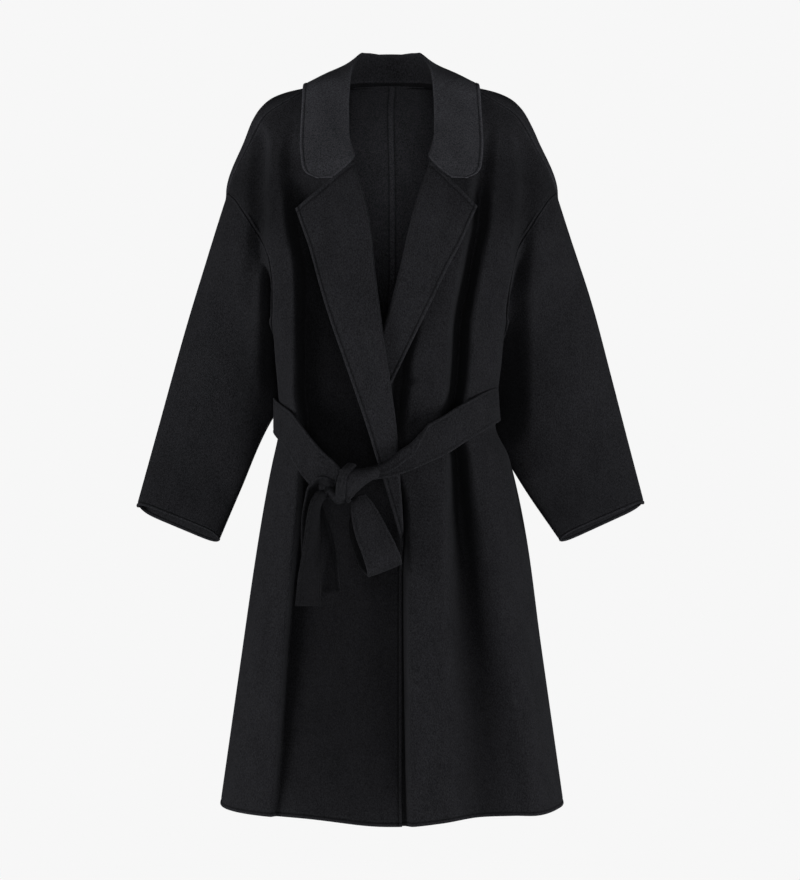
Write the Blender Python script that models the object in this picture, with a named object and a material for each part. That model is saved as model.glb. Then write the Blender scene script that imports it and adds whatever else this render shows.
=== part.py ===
"""A belted wool wrap coat, filled out as if worn, with nobody inside it.

Every panel is a sheet of cloth placed on one form. The form is a stack of rings, worked out from a short
table of sections, with folds pressed into it. A place on the form is an angle round the body, in degrees
from the centre front towards the wearer's left, and a girth, in metres along the shoulder and down the side
from the neck. Z is up, the front faces -Y and the origin lies between the two neck points.
"""

import bisect
import math
from collections import namedtuple

import bmesh
import bpy
from mathutils import Vector

# Cloth, in metres
CLOTH = 0.0022  # double-faced wool
BELT_CLOTH = 0.0042  # the belt is two layers
LAPEL_GAP = 0.007  # from the middle of a front to the middle of the lapel turned back on it
LAPEL_TURN = 0.004  # how far from the roll line a lapel has come up to that gap
BELT_HALF = 0.026  # half the belt's width

# Black wool, read from the photo
WOOL_COLOUR = (0.0130, 0.0130, 0.0150, 1.0)
WOOL_ROUGHNESS = 0.92
WOOL_METALLIC = 0.0

# Girths of the lines that the pieces share
NECK = 0.004
FRONT_TOP = 0.020
GORGE = 0.238
DROP = 0.275
UNDERARM = 0.480
LEFT_BREAK = 0.690
RIGHT_BREAK = 0.800
HEM = 1.1855
HEM_DIP = 0.0095  # how much longer the coat is at the centre front
HEM_DIP_FROM = 1.000
HEM_DIP_ANGLE = 15.0

# Angles of the seams
SIDE = 90.0
BACK = 180.0
SEAM_ANGLE = 0.03  # half the gap at a side seam
BACK_SEAM_ANGLE = 0.015  # half the gap at the centre back
SHOULDER_SEAM_ANGLE = 0.4  # half the gap at the shoulder seam, where a degree is shorter

EVEN_SHARE = 0.7  # share of a front whose columns keep their angle from row to row
ROUNDNESS = 2.3  # power of the rings: 2 is an ellipse, more is squarer

Section = namedtuple("Section", "girth height half_width front back middle")
SECTIONS = (
    Section(0.000, 0.0000, 0.0720, 0.014, 0.050, 0.000),
    Section(0.030, -0.0020, 0.1020, 0.017, 0.057, 0.000),
    Section(0.080, -0.0105, 0.1500, 0.023, 0.066, -0.001),
    Section(0.110, -0.0215, 0.1785, 0.031, 0.075, -0.002),
    Section(0.135, -0.0375, 0.1960, 0.043, 0.085, -0.002),
    Section(0.155, -0.0525, 0.2055, 0.054, 0.093, -0.002),
    Section(0.190, -0.0825, 0.2185, 0.075, 0.104, -0.001),
    Section(DROP, -0.165, 0.2475, 0.112, 0.119, 0.000),
    Section(0.320, -0.210, 0.2430, 0.123, 0.124, 0.000),
    Section(0.380, -0.270, 0.2180, 0.129, 0.126, 0.000),
    Section(UNDERARM, -0.370, 0.1950, 0.130, 0.124, 0.000),
    Section(0.560, -0.450, 0.1800, 0.126, 0.118, 0.002),
    Section(0.620, -0.510, 0.1770, 0.125, 0.116, 0.003),
    Section(0.670, -0.560, 0.1810, 0.129, 0.119, 0.004),
    Section(RIGHT_BREAK, -0.690, 0.2010, 0.142, 0.136, 0.001),
    Section(0.950, -0.840, 0.2220, 0.154, 0.150, 0.000),
    Section(HEM, -1.0755, 0.2555, 0.166, 0.163, 0.000),
)

# Each fold is a trough that runs down the coat: its half-width in degrees, then its angle and its depth at
# each of these girths. Above the first girth a fold fades out towards the shoulder.
FOLD_GIRTHS = (0.285, 0.380, 0.480, 0.540, 0.610, 0.800, HEM)
FOLD_START = 0.130
Fold = namedtuple("Fold", "name half_width angles depths")
FOLDS = (
    Fold("right_front", 13, (-39, -38, -36, -35, -34, -38, -36),
         (0.014, 0.026, 0.032, 0.032, 0.030, 0.030, 0.012)),
    Fold("left_front", 12, (40, 37, 35, 34, 33, 35, 37),
         (0.010, 0.024, 0.032, 0.034, 0.034, 0.026, 0.011)),
    Fold("right_side", 24, (-90, -92, -96, -98, -96, -96, -96),
         (0.000, 0.028, 0.052, 0.050, 0.004, 0.000, 0.000)),
    Fold("left_side", 24, (90, 92, 97, 100, 98, 98, 98),
         (0.000, 0.028, 0.052, 0.052, 0.004, 0.000, 0.000)),
    Fold("right_back", 12, (-130, -130, -132, -132, -128, -124, -122),
         (0, 0.004, 0.010, 0.014, 0.020, 0.016, 0.012)),
    Fold("left_back", 12, (132, 132, 134, 134, 130, 126, 124),
         (0, 0.004, 0.010, 0.014, 0.020, 0.016, 0.012)),
    Fold("right_middle", 9, (-158, -158, -157, -157, -156, -155, -154),
         (0, 0.004, 0.010, 0.014, 0.018, 0.014, 0.010)),
    Fold("left_middle", 9, (156, 156, 157, 158, 158, 156, 155),
         (0, 0.004, 0.010, 0.014, 0.018, 0.014, 0.010)),
)

# Rows of every panel, as girths
ROWS = (
    (0.020, 0.050, 0.080, 0.110, 0.135, 0.160, 0.190, 0.214, GORGE, 0.258)
    + (DROP, 0.285, 0.300, 0.325, 0.360, 0.400, 0.435, 0.460, UNDERARM)
    + (0.520, 0.560, 0.600, 0.645, LEFT_BREAK, 0.740, RIGHT_BREAK, 0.870, 0.960, 1.070, HEM)
)
FRONT_COLUMNS = 16
BACK_COLUMNS = 13
LAPEL_COLUMNS = (0.0, 0.02, 0.06, 0.16, 0.40, 0.70, 1.0)

# Shoulder seam: its angle at each girth
Shoulder = namedtuple("Shoulder", "girth angle")
SHOULDER = (
    Shoulder(NECK, 64.0),
    Shoulder(0.020, 62.0),
    Shoulder(0.110, 50.0),
    Shoulder(0.155, 68.0),
    Shoulder(DROP, 78.0),
)

# Armhole: the angle of its front and back edge at each girth
Armhole = namedtuple("Armhole", "girth front back")
ARMHOLE = (
    Armhole(DROP, 78.0, 78.0),
    Armhole(0.285, 69.0, 94.0),
    Armhole(0.300, 63.5, 106.0),
    Armhole(0.325, 57.0, 117.0),
    Armhole(0.360, 52.5, 124.0),
    Armhole(0.400, 53.0, 125.0),
    Armhole(0.435, 59.0, 119.0),
    Armhole(0.460, 69.0, 110.0),
    Armhole(UNDERARM, SIDE - SEAM_ANGLE, SIDE + SEAM_ANGLE),
)

# Inner edge of each front, as x at each girth: neck edge, roll line from the gorge, then front edge
Edge = namedtuple("Edge", "girth right left")
FRONT_EDGES = (
    Edge(FRONT_TOP, -0.0730, 0.0730),
    Edge(0.080, -0.0745, 0.0745),
    Edge(0.135, -0.0725, 0.0725),
    Edge(0.190, -0.0680, 0.0680),
    Edge(GORGE, -0.0545, 0.0545),
    Edge(0.310, -0.0350, 0.0315),
    Edge(0.400, -0.0230, 0.0110),
    Edge(0.480, -0.0130, -0.0100),
    Edge(0.610, 0.0020, -0.0430),
    Edge(LEFT_BREAK, 0.0085, -0.0600),
    Edge(RIGHT_BREAK, 0.0145, -0.0750),
    Edge(HEM, 0.0145, -0.0750),
)

# The right front lies over the left one: how far it stands off the form, near the middle, at each girth
Lift = namedtuple("Lift", "girth height")
RIGHT_LIFTS = (
    Lift(0.360, 0.000),
    Lift(0.440, 0.010),
    Lift(0.500, 0.0135),
    Lift(0.660, 0.0135),
    Lift(0.750, 0.010),
    Lift(0.850, 0.008),
    Lift(HEM, 0.007),
)
LIFT_FROM = -0.170  # x where the lift begins
LIFT_FULL = -0.075  # x where it is full

Lapel = namedtuple("Lapel", "tip_x tip_z last belly")
RIGHT_LAPEL = Lapel(-0.134, -0.197, RIGHT_BREAK, 0.007)
LEFT_LAPEL = Lapel(0.119, -0.194, LEFT_BREAK, 0.0)

# Left half of the collar, from the centre back to its front end. The end row follows the lapel's top edge.
Collar = namedtuple("Collar", "along neck roll middle edge")
COLLAR = (
    Collar(0.00, (0, 0.053, 0.0025), (0, 0.051, 0.054), (0, 0.076, 0.028), (0, 0.090, -0.012)),
    Collar(0.30, (0.042, 0.045, 0.003), (0.042, 0.041, 0.055),
           (0.060, 0.060, 0.031), (0.078, 0.074, -0.003)),
    Collar(0.50, (0.066, 0.020, 0.004), (0.054, 0.022, 0.040), (0.087, 0.030, 0.026), (0.121, 0.034, 0.003)),
    Collar(0.65, (0.071, -0.010, 0.004), (0.0605, -0.010, 0.012),
           (0.097, -0.016, 0.009), (0.131, -0.020, -0.003)),
    Collar(0.80, (0.0695, -0.041, -0.029), (0.0635, -0.05, -0.04),
           (0.099, -0.054, -0.039), (0.133, -0.053, -0.05)),
    Collar(0.90, (0.0645, -0.076, -0.076), (0.0625, -0.086, -0.09),
           (0.099, -0.088, -0.091), (0.134, -0.08, -0.096)),
    Collar(0.97, (0.0575, -0.093, -0.109), (0.0565, -0.101, -0.116),
           (0.094, -0.107, -0.13), (0.131, -0.099, -0.132)),
    Collar(1.00, (0.0545, -0.098, -0.117), (0.054, -0.105, -0.123),
           (0.0885, -0.114, -0.153), (0.115, -0.1085, -0.15)),
)
COLLAR_LEAN = -0.003  # how far the back of the collar leans to the wearer's right
COLLAR_ROWS = 26
COLLAR_COLUMNS = (0.0, 0.5, 0.85, 1.0, 1.15, 1.5, 2.0, 2.5, 3.0)  # neck 0, roll 1, middle 2, edge 3

# Each sleeve, from the armhole to the cuff: its outer and inner edge, depth and place
Sleeve = namedtuple("Sleeve", "along outer_x outer_z inner_x inner_z half_depth y front_lift")
RIGHT_SLEEVE = (
    Sleeve(0.00, 0.2490, -0.1650, 0.1400, -0.372, 0.080, 0.000, 0.000),
    Sleeve(0.22, 0.2810, -0.2690, 0.1760, -0.446, 0.066, 0.026, 0.000),
    Sleeve(0.36, 0.3020, -0.3340, 0.1850, -0.496, 0.058, 0.042, 0.000),
    Sleeve(0.70, 0.3475, -0.4940, 0.2240, -0.600, 0.054, 0.032, 0.000),
    Sleeve(1.00, 0.3835, -0.6345, 0.2575, -0.680, 0.047, 0.000, 0.011),
)
LEFT_SLEEVE = (
    Sleeve(0.00, 0.2490, -0.1650, 0.1400, -0.372, 0.080, 0.000, 0.000),
    Sleeve(0.22, 0.2835, -0.2690, 0.1850, -0.446, 0.062, 0.049, 0.000),
    Sleeve(0.36, 0.3050, -0.3340, 0.1840, -0.496, 0.058, 0.058, 0.000),
    Sleeve(0.70, 0.3495, -0.4930, 0.2060, -0.600, 0.054, 0.048, 0.000),
    Sleeve(1.00, 0.3835, -0.6310, 0.2490, -0.680, 0.047, 0.014, 0.007),
)
SLEEVE_RINGS = 13
SLEEVE_FROM_ARMHOLE = 0.36  # how far along the armhole's own outline fades out
SHOULDER_GAP = 0.0009  # between a sleeve and the armhole at the top
ARMHOLE_GAP = 0.0034  # at the underarm, wider than a flat seam because the two walls meet at an angle

# The belt round the waist: height of its middle, distance from the form and half-width at each angle
Belt = namedtuple("Belt", "angle height off half_width")
BELT = (
    Belt(-24.0, -0.5880, 0.0175, 0.020),
    Belt(-60.0, -0.5230, 0.0065, BELT_HALF),
    Belt(-90.0, -0.4990, 0.0050, BELT_HALF),
    Belt(-135.0, -0.4920, 0.0050, BELT_HALF),
    Belt(-180.0, -0.4880, 0.0050, BELT_HALF),
    Belt(-225.0, -0.4840, 0.0050, BELT_HALF),
    Belt(-270.0, -0.4820, 0.0048, BELT_HALF),
    Belt(-300.0, -0.4900, 0.0060, BELT_HALF),
    Belt(-335.0, -0.5280, 0.0140, 0.025),
    Belt(-360.0, -0.5640, 0.0272, 0.018),
    Belt(-368.0, -0.5760, 0.0280, 0.013),
)
BELT_STEPS = 52

KNOT_CENTRE = (-0.0640, -0.1720, -0.5960)
KNOT_RADII = (0.0330, 0.0150, 0.0230)
KNOT_TILT = 18.0
KNOT_SEGMENTS = 18
KNOT_RINGS = 10

# Loose parts of the belt, as strips: the middle line, half-width, and which way the width faces. Turn swings
# it away from the front, tilt raises its left end.
Strip = namedtuple("Strip", "x y z half_width turn tilt")
LOOP = (
    Strip(-0.0480, -0.1790, -0.6250, 0.016, 8, 16),
    Strip(-0.0380, -0.1840, -0.6500, 0.024, 10, 18),
    Strip(-0.0240, -0.1870, -0.6850, BELT_HALF, 10, 20),
    Strip(-0.0140, -0.1860, -0.7120, BELT_HALF, 8, 20),
    Strip(-0.0130, -0.1780, -0.7190, BELT_HALF, 4, 20),
    Strip(-0.0180, -0.1700, -0.7120, BELT_HALF, 0, 18),
    Strip(-0.0320, -0.1660, -0.6800, 0.025, 0, 14),
    Strip(-0.0480, -0.1660, -0.6450, 0.020, 0, 10),
)
TAIL_FRONT = (
    Strip(-0.0900, -0.1800, -0.6240, 0.013, 30, -8),
    Strip(-0.1010, -0.1840, -0.6450, 0.020, 42, -6),
    Strip(-0.1090, -0.1830, -0.6850, 0.025, 46, -4),
    Strip(-0.1150, -0.1805, -0.7300, BELT_HALF, 42, -2),
    Strip(-0.1180, -0.1790, -0.7680, BELT_HALF, 40, -2),
)
TAIL_BACK = (
    Strip(-0.0800, -0.1570, -0.6250, 0.014, 0, 4),
    Strip(-0.0840, -0.1570, -0.6500, 0.021, -6, 4),
    Strip(-0.0870, -0.1580, -0.7000, 0.023, -8, 4),
    Strip(-0.0880, -0.1580, -0.7520, 0.024, -8, 6),
)
STRIP_STEPS = 16
STRIP_COLUMNS = 4


def mean_slope(before, after):
    """Slope at a table's point, level where the values turn back."""
    if before * after <= 0:
        return 0.0
    return 2 * before * after / (before + after)


def smooth(keys, values, at):
    """A smooth curve through a table's points, with no overshoot, read at one key."""
    at = min(max(at, keys[0]), keys[-1])
    last = len(keys) - 2
    i = min(bisect.bisect_right(keys, at) - 1, last)
    near = (max(i - 1, 0), i, min(i + 1, last))
    rises = [(values[j + 1] - values[j]) / (keys[j + 1] - keys[j]) for j in near]
    step = keys[i + 1] - keys[i]
    t = (at - keys[i]) / step
    start = mean_slope(rises[0], rises[1]) * step
    end = mean_slope(rises[1], rises[2]) * step
    rise = values[i + 1] - values[i]
    return values[i] + t * (start + t * (3 * rise - 2 * start - end + t * (start + end - 2 * rise)))


def read(table, column, at):
    """One column of a table at a place given by its first column."""
    return smooth([row[0] for row in table], [getattr(row, column) for row in table], at)


def ramp(value, start, full):
    """0 before start, 1 after full, smooth in between."""
    t = min(max((value - start) / (full - start), 0.0), 1.0)
    return t * t * (3 - 2 * t)


def signed_power(value, power):
    return math.copysign(abs(value) ** power, value)


def fold_depth(angle, girth):
    """How far all the folds press the cloth in at one place."""
    total = 0.0
    fade = ramp(girth, FOLD_START, FOLD_GIRTHS[0])
    for fold in FOLDS:
        off = (angle - smooth(FOLD_GIRTHS, fold.angles, girth) + 180) % 360 - 180
        total += smooth(FOLD_GIRTHS, fold.depths, girth) * math.exp(-((off / fold.half_width) ** 2))
    return total * fade


def form_point(angle, girth, off=0.0, folded=True):
    """A place on the form, moved out from it by off and in by the folds."""
    turn = math.radians(angle)
    half_width = read(SECTIONS, "half_width", girth)
    depth = read(SECTIONS, "front" if math.cos(turn) > 0 else "back", girth)
    x = half_width * signed_power(math.sin(turn), 2 / ROUNDNESS)
    y = -depth * signed_power(math.cos(turn), 2 / ROUNDNESS)
    if folded:
        off -= fold_depth(angle, girth)
    scale = 1 + off / math.hypot(x, y)
    dip = HEM_DIP * ramp(girth, HEM_DIP_FROM, HEM) * math.exp(-((angle / HEM_DIP_ANGLE) ** 2))
    middle = read(SECTIONS, "middle", girth)
    return Vector((middle + x * scale, y * scale, read(SECTIONS, "height", girth) - dip))


def girth_at(height):
    """The girth line at a height, on the upright part of the form."""
    heights = [-row.height for row in SECTIONS]
    return smooth(heights, [row.girth for row in SECTIONS], -height)


def angle_at(x, girth):
    """The angle at which the front of the form reaches x."""
    x -= read(SECTIONS, "middle", girth)
    share = min(abs(x) / read(SECTIONS, "half_width", girth), 1.0)
    return math.copysign(math.degrees(math.asin(share ** (ROUNDNESS / 2))), x)


def right_lift(x, girth):
    return read(RIGHT_LIFTS, "height", girth) * ramp(x, LIFT_FROM, LIFT_FULL)


def outer_edge(girth, face):
    """Angle of a panel's outer edge: shoulder seam, armhole, then side seam. Face is front or back."""
    sign = -1 if face == "front" else 1
    if girth <= DROP:
        return read(SHOULDER, "angle", girth) + sign * SHOULDER_SEAM_ANGLE
    if girth < UNDERARM:
        return read(ARMHOLE, face, girth)
    return SIDE + sign * SEAM_ANGLE


def spread(inner, outer, share):
    """Angle of a column: the same on every row, but for the columns that close up near the outer edge."""
    flat = inner + (SIDE - inner) * share
    hold = EVEN_SHARE * outer
    if flat <= hold:
        return flat
    return hold + (flat - hold) * (outer - hold) / (SIDE - hold)


def wool():
    material = bpy.data.materials.new("black_wool")
    material.use_nodes = True
    shader = material.node_tree.nodes["Principled BSDF"]
    shader.inputs["Base Color"].default_value = WOOL_COLOUR
    shader.inputs["Roughness"].default_value = WOOL_ROUGHNESS
    shader.inputs["Metallic"].default_value = WOOL_METALLIC
    material.diffuse_color = WOOL_COLOUR
    return material


def add_grid(mesh, columns, rows, place):
    """A grid of cloth, with each point placed by its column and row number."""
    made = bmesh.ops.create_grid(mesh, x_segments=columns - 1, y_segments=rows - 1, size=0.5)
    for point in made["verts"]:
        column = round((point.co.x + 0.5) * (columns - 1))
        row = round((point.co.y + 0.5) * (rows - 1))
        point.co = place(column, row)


def finish_cloth(mesh, name, thickness):
    """Welds a piece's grids, makes them an object and gives the cloth its thickness."""
    bmesh.ops.remove_doubles(mesh, verts=mesh.verts, dist=1e-5)
    bmesh.ops.recalc_face_normals(mesh, faces=mesh.faces)
    data = bpy.data.meshes.new(name)
    mesh.to_mesh(data)
    mesh.free()
    piece = bpy.data.objects.new(name, data)
    bpy.context.collection.objects.link(piece)
    data.materials.append(wool())
    if thickness:
        solidify = piece.modifiers.new("thickness", "SOLIDIFY")
        solidify.thickness = thickness
        solidify.offset = 0.0
    return piece


def back_panel(side):
    """Half of the back. Side is -1 for the wearer's right and 1 for the left."""
    rows = (NECK,) + ROWS

    def place(column, row):
        girth = rows[row]
        edge = outer_edge(girth, "back")
        share = column / (BACK_COLUMNS - 1)
        angle = (BACK - BACK_SEAM_ANGLE) * (1 - share) + edge * share
        return form_point(side * angle, girth)

    mesh = bmesh.new()
    add_grid(mesh, BACK_COLUMNS, len(rows), place)
    return finish_cloth(mesh, "back_left" if side > 0 else "back_right", CLOTH)


def front_panel(side):
    """A front with its lapel. The right front lies over the left one."""
    name = "left" if side > 0 else "right"
    lapel = LEFT_LAPEL if side > 0 else RIGHT_LAPEL

    def surface(angle, girth, off=0.0, folded=True):
        if side < 0:
            off += right_lift(form_point(angle, girth, 0.0, False).x, girth)
        return form_point(angle, girth, off, folded)

    def place(column, row):
        girth = ROWS[row]
        inner = side * angle_at(read(FRONT_EDGES, name, girth), girth)
        angle = spread(inner, outer_edge(girth, "front"), column / (FRONT_COLUMNS - 1))
        return surface(side * angle, girth, 0.0, column > 0)

    lapel_rows = [row for row, girth in enumerate(ROWS) if GORGE <= girth <= lapel.last]

    def place_lapel(column, row):
        roll = place(0, lapel_rows[row])
        down = (ROWS[lapel_rows[row]] - GORGE) / (lapel.last - GORGE)
        end = place(0, lapel_rows[-1])
        edge_x = lapel.tip_x + (end.x - lapel.tip_x) * down - side * lapel.belly * math.sin(math.pi * down)
        edge_z = lapel.tip_z + (end.z - lapel.tip_z) * down
        across = LAPEL_COLUMNS[column]
        x = roll.x + (edge_x - roll.x) * across
        z = roll.z + (edge_z - roll.z) * across
        distance = math.hypot(x - roll.x, z - roll.z)
        if distance == 0:
            return roll
        girth = girth_at(z)
        angle = angle_at(x, girth)
        return surface(angle, girth, LAPEL_GAP * ramp(distance, -LAPEL_TURN, LAPEL_TURN), False)

    mesh = bmesh.new()
    add_grid(mesh, FRONT_COLUMNS, len(ROWS), place)
    add_grid(mesh, len(LAPEL_COLUMNS), len(lapel_rows), place_lapel)
    return finish_cloth(mesh, "front_" + name, CLOTH)


def collar():
    def place(column, row):
        along = 2 * row / (COLLAR_ROWS - 1) - 1
        at = COLLAR_COLUMNS[column]
        keys = [line.along for line in COLLAR]
        point = []
        for axis in range(3):
            lines = [smooth(keys, [line[part][axis] for line in COLLAR], abs(along)) for part in range(1, 5)]
            point.append(smooth((0, 1, 2, 3), lines, at))
        point[0] = point[0] * math.copysign(1, along) + COLLAR_LEAN * (1 - abs(along))
        return point

    mesh = bmesh.new()
    add_grid(mesh, len(COLLAR_COLUMNS), COLLAR_ROWS, place)
    return finish_cloth(mesh, "collar", CLOTH)


def sleeve(side):
    """A sleeve: rings that start as the armhole's outline and end as the cuff."""
    lines = LEFT_SLEEVE if side > 0 else RIGHT_SLEEVE
    outline = [form_point(side * row.front, row.girth) for row in ARMHOLE]
    outline += [form_point(side * row.back, row.girth) for row in reversed(ARMHOLE[1:-1])]
    points = len(outline)
    middle = sum(outline, Vector()) / points
    top = lines[0]
    end = lines[-1]
    drop = Vector((end.outer_x + end.inner_x - top.outer_x - top.inner_x, 0, 0)) * (side / 2)
    drop.z = (end.outer_z + end.inner_z - top.outer_z - top.inner_z) / 2

    def place(column, row):
        along = row / (SLEEVE_RINGS - 1)
        index = column % points
        turn = math.tau * index / points
        outer = Vector((side * read(lines, "outer_x", along), 0, read(lines, "outer_z", along)))
        inner = Vector((side * read(lines, "inner_x", along), 0, read(lines, "inner_z", along)))
        ring = (outer + inner) / 2 + (outer - inner) / 2 * math.cos(turn)
        ring.y = read(lines, "y", along) - read(lines, "half_depth", along) * math.sin(turn)
        ring.z += read(lines, "front_lift", along) * math.sin(turn)
        under = ramp(-math.cos(turn), 0.3, 1.0)
        gap = SHOULDER_GAP + (ARMHOLE_GAP - SHOULDER_GAP) * (1 - math.cos(turn)) / 2
        away = (middle - outline[index]).normalized().lerp(Vector((side, 0, 0)), under) * gap
        from_armhole = outline[index] + away + drop * along
        return from_armhole.lerp(ring, ramp(along, 0.0, SLEEVE_FROM_ARMHOLE))

    mesh = bmesh.new()
    add_grid(mesh, points + 1, SLEEVE_RINGS, place)
    return finish_cloth(mesh, "sleeve_left" if side > 0 else "sleeve_right", CLOTH)


def belt_around():
    keys = [-row.angle for row in BELT]

    def column_at(name, angle):
        return smooth(keys, [getattr(row, name) for row in BELT], -angle)

    def middle(angle):
        return form_point(angle, girth_at(column_at("height", angle)), column_at("off", angle), False)

    def place(column, row):
        angle = BELT[0].angle + (BELT[-1].angle - BELT[0].angle) * row / (BELT_STEPS - 1)
        run = (middle(angle - 0.5) - middle(angle + 0.5)).normalized()
        up = (Vector((0, 0, 1)) - run * run.z).normalized()
        return middle(angle) + up * column_at("half_width", angle) * (column - 1)

    mesh = bmesh.new()
    add_grid(mesh, 3, BELT_STEPS, place)
    return finish_cloth(mesh, "belt_around", BELT_CLOTH)


def belt_knot():
    mesh = bmesh.new()
    bmesh.ops.create_uvsphere(mesh, u_segments=KNOT_SEGMENTS, v_segments=KNOT_RINGS, radius=1.0)
    tilt = math.radians(KNOT_TILT)
    for point in mesh.verts:
        x = point.co.x * KNOT_RADII[0]
        z = point.co.z * KNOT_RADII[2]
        y = point.co.y * KNOT_RADII[1]
        point.co = Vector(KNOT_CENTRE) + Vector(
            (x * math.cos(tilt) - z * math.sin(tilt), y, x * math.sin(tilt) + z * math.cos(tilt))
        )
    return finish_cloth(mesh, "belt_knot", 0.0)


def belt_strip(name, lines):
    """A loose length of the belt that follows a table of places."""
    keys = list(range(len(lines)))

    def place(column, row):
        at = (len(lines) - 1) * row / (STRIP_STEPS - 1)
        columns = zip(*lines)
        line = Strip(*[smooth(keys, values, at) for values in columns])
        turn = math.radians(line.turn)
        tilt = math.radians(line.tilt)
        across = Vector((math.cos(turn) * math.cos(tilt), math.sin(turn) * math.cos(tilt), math.sin(tilt)))
        share = 2 * column / (STRIP_COLUMNS - 1) - 1
        return Vector((line.x, line.y, line.z)) + across * line.half_width * share

    mesh = bmesh.new()
    add_grid(mesh, STRIP_COLUMNS, STRIP_STEPS, place)
    return finish_cloth(mesh, name, BELT_CLOTH)


def main():
    for thing in list(bpy.data.objects):
        bpy.data.objects.remove(thing)
    for side in (-1, 1):
        back_panel(side)
        front_panel(side)
        sleeve(side)
    collar()
    belt_around()
    belt_knot()
    belt_strip("belt_loop", LOOP)
    belt_strip("belt_tail_front", TAIL_FRONT)
    belt_strip("belt_tail_back", TAIL_BACK)


main()
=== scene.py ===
# %% [markdown]
# # A black wool wrap coat
# The coat is cut from double-faced wool: a thick, brushed cloth with no lining, whose edges are
# turned in and sewn blind. It stands filled out, as if somebody wore it, and there is nobody inside.
# This lesson lays a thin sheet for every piece that a tailor would cut, and presses the folds of the
# real coat into it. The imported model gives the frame: each sheet takes the place of a plain solid.

# %% Load the frame
import math
from collections import namedtuple

import bmesh
import bpy
import numpy as np
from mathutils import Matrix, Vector


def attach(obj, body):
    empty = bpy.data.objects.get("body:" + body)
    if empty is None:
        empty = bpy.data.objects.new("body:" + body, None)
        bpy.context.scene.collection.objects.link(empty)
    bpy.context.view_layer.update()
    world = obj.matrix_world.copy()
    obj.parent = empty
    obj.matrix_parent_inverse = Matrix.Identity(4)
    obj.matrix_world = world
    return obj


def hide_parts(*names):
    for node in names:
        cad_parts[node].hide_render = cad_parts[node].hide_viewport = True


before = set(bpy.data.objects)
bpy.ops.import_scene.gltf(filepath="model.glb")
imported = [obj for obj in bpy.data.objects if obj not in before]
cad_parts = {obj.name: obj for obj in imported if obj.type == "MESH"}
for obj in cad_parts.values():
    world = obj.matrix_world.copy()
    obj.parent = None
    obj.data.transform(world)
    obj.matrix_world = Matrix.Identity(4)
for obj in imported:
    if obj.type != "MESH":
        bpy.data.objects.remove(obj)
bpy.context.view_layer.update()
print("nodes in the frame:", sorted(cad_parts))

# %% [markdown]
# ## Reading a table
# A tailor works from a short table of measurements and draws a smooth line through them.
# Every size below is kept that way. Blender's own curves could draw such lines, but they
# bulge past a value where two rows differ much. `smooth` passes through each value and
# never swings past one, and it reads a whole array of places at once, so a sheet of
# thirty thousand points costs a few numpy calls. `ramp` goes softly from 0 to 1.

# %% Smooth curves through a table
def smooth(keys, values, at):
    keys = np.asarray(keys, float)
    values = np.asarray(values, float)
    at = np.clip(at, keys[0], keys[-1])
    steps = np.diff(keys)
    rises = np.diff(values) / steps
    product = rises[:-1] * rises[1:]
    level = product <= 0
    inner = np.where(level, 0.0, 2 * product / np.where(level, 1.0, rises[:-1] + rises[1:]))
    slopes = np.concatenate(([rises[0]], inner, [rises[-1]]))
    i = np.clip(np.searchsorted(keys, at, side="right") - 1, 0, len(steps) - 1)
    t = (at - keys[i]) / steps[i]
    start = slopes[i] * steps[i]
    end = slopes[i + 1] * steps[i]
    rise = values[i + 1] - values[i]
    return values[i] + t * (start + t * (3 * rise - 2 * start - end + t * (start + end - 2 * rise)))


def read(table, column, at):
    return smooth([row[0] for row in table], [getattr(row, column) for row in table], at)


def ramp(value, start, full):
    t = np.clip((value - start) / (full - start), 0.0, 1.0)
    return t * t * (3 - 2 * t)


print("half of the way up a ramp:", ramp(0.5, 0.0, 1.0))

# %% [markdown]
# ## The form under the cloth
# A coat hangs from the shoulders, so the form is a stack of rings that starts at the
# neck, runs out along the shoulders and then drops to the hem. A place on it has two
# numbers: an angle round the body, in degrees from the centre front towards the wearer's
# left, and a girth, which is the way along the cloth from the neck. These are the
# sections that the solids were made from, so the finer sheets lie where the solids are.

# %% Sections of the coat
NECK = 0.004
FRONT_TOP = 0.020
GORGE = 0.238  # where collar and lapel meet
DROP = 0.275  # lowest point of the dropped shoulder seam
UNDERARM = 0.480
LEFT_BREAK = 0.690  # where each lapel ends
RIGHT_BREAK = 0.800
HEM = 1.1855
ROUNDNESS = 2.3  # power of the rings: 2 is an ellipse, more is squarer

Section = namedtuple("Section", "girth height half_width front back middle")
SECTIONS = (
    Section(0.000, 0.0000, 0.0720, 0.014, 0.050, 0.000),
    Section(0.030, -0.0020, 0.1020, 0.017, 0.057, 0.000),
    Section(0.080, -0.0105, 0.1500, 0.023, 0.066, -0.001),
    Section(0.110, -0.0215, 0.1785, 0.031, 0.075, -0.002),
    Section(0.135, -0.0375, 0.1960, 0.043, 0.085, -0.002),
    Section(0.155, -0.0525, 0.2055, 0.054, 0.093, -0.002),
    Section(0.190, -0.0825, 0.2185, 0.075, 0.104, -0.001),
    Section(DROP, -0.165, 0.2475, 0.112, 0.119, 0.000),
    Section(0.320, -0.210, 0.2430, 0.123, 0.124, 0.000),
    Section(0.380, -0.270, 0.2180, 0.129, 0.126, 0.000),
    Section(UNDERARM, -0.370, 0.1870, 0.130, 0.124, -0.005),
    Section(0.560, -0.450, 0.1740, 0.126, 0.118, -0.006),
    Section(0.620, -0.510, 0.1630, 0.125, 0.116, -0.007),
    Section(0.670, -0.560, 0.1770, 0.129, 0.119, -0.001),
    Section(RIGHT_BREAK, -0.690, 0.2010, 0.142, 0.136, 0.001),
    Section(0.950, -0.840, 0.2220, 0.154, 0.150, 0.000),
    Section(HEM, -1.0755, 0.2555, 0.166, 0.163, 0.000),
)
print("sections:", len(SECTIONS), "from the neck to a hem", 2 * SECTIONS[-1].half_width, "m wide")

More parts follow.
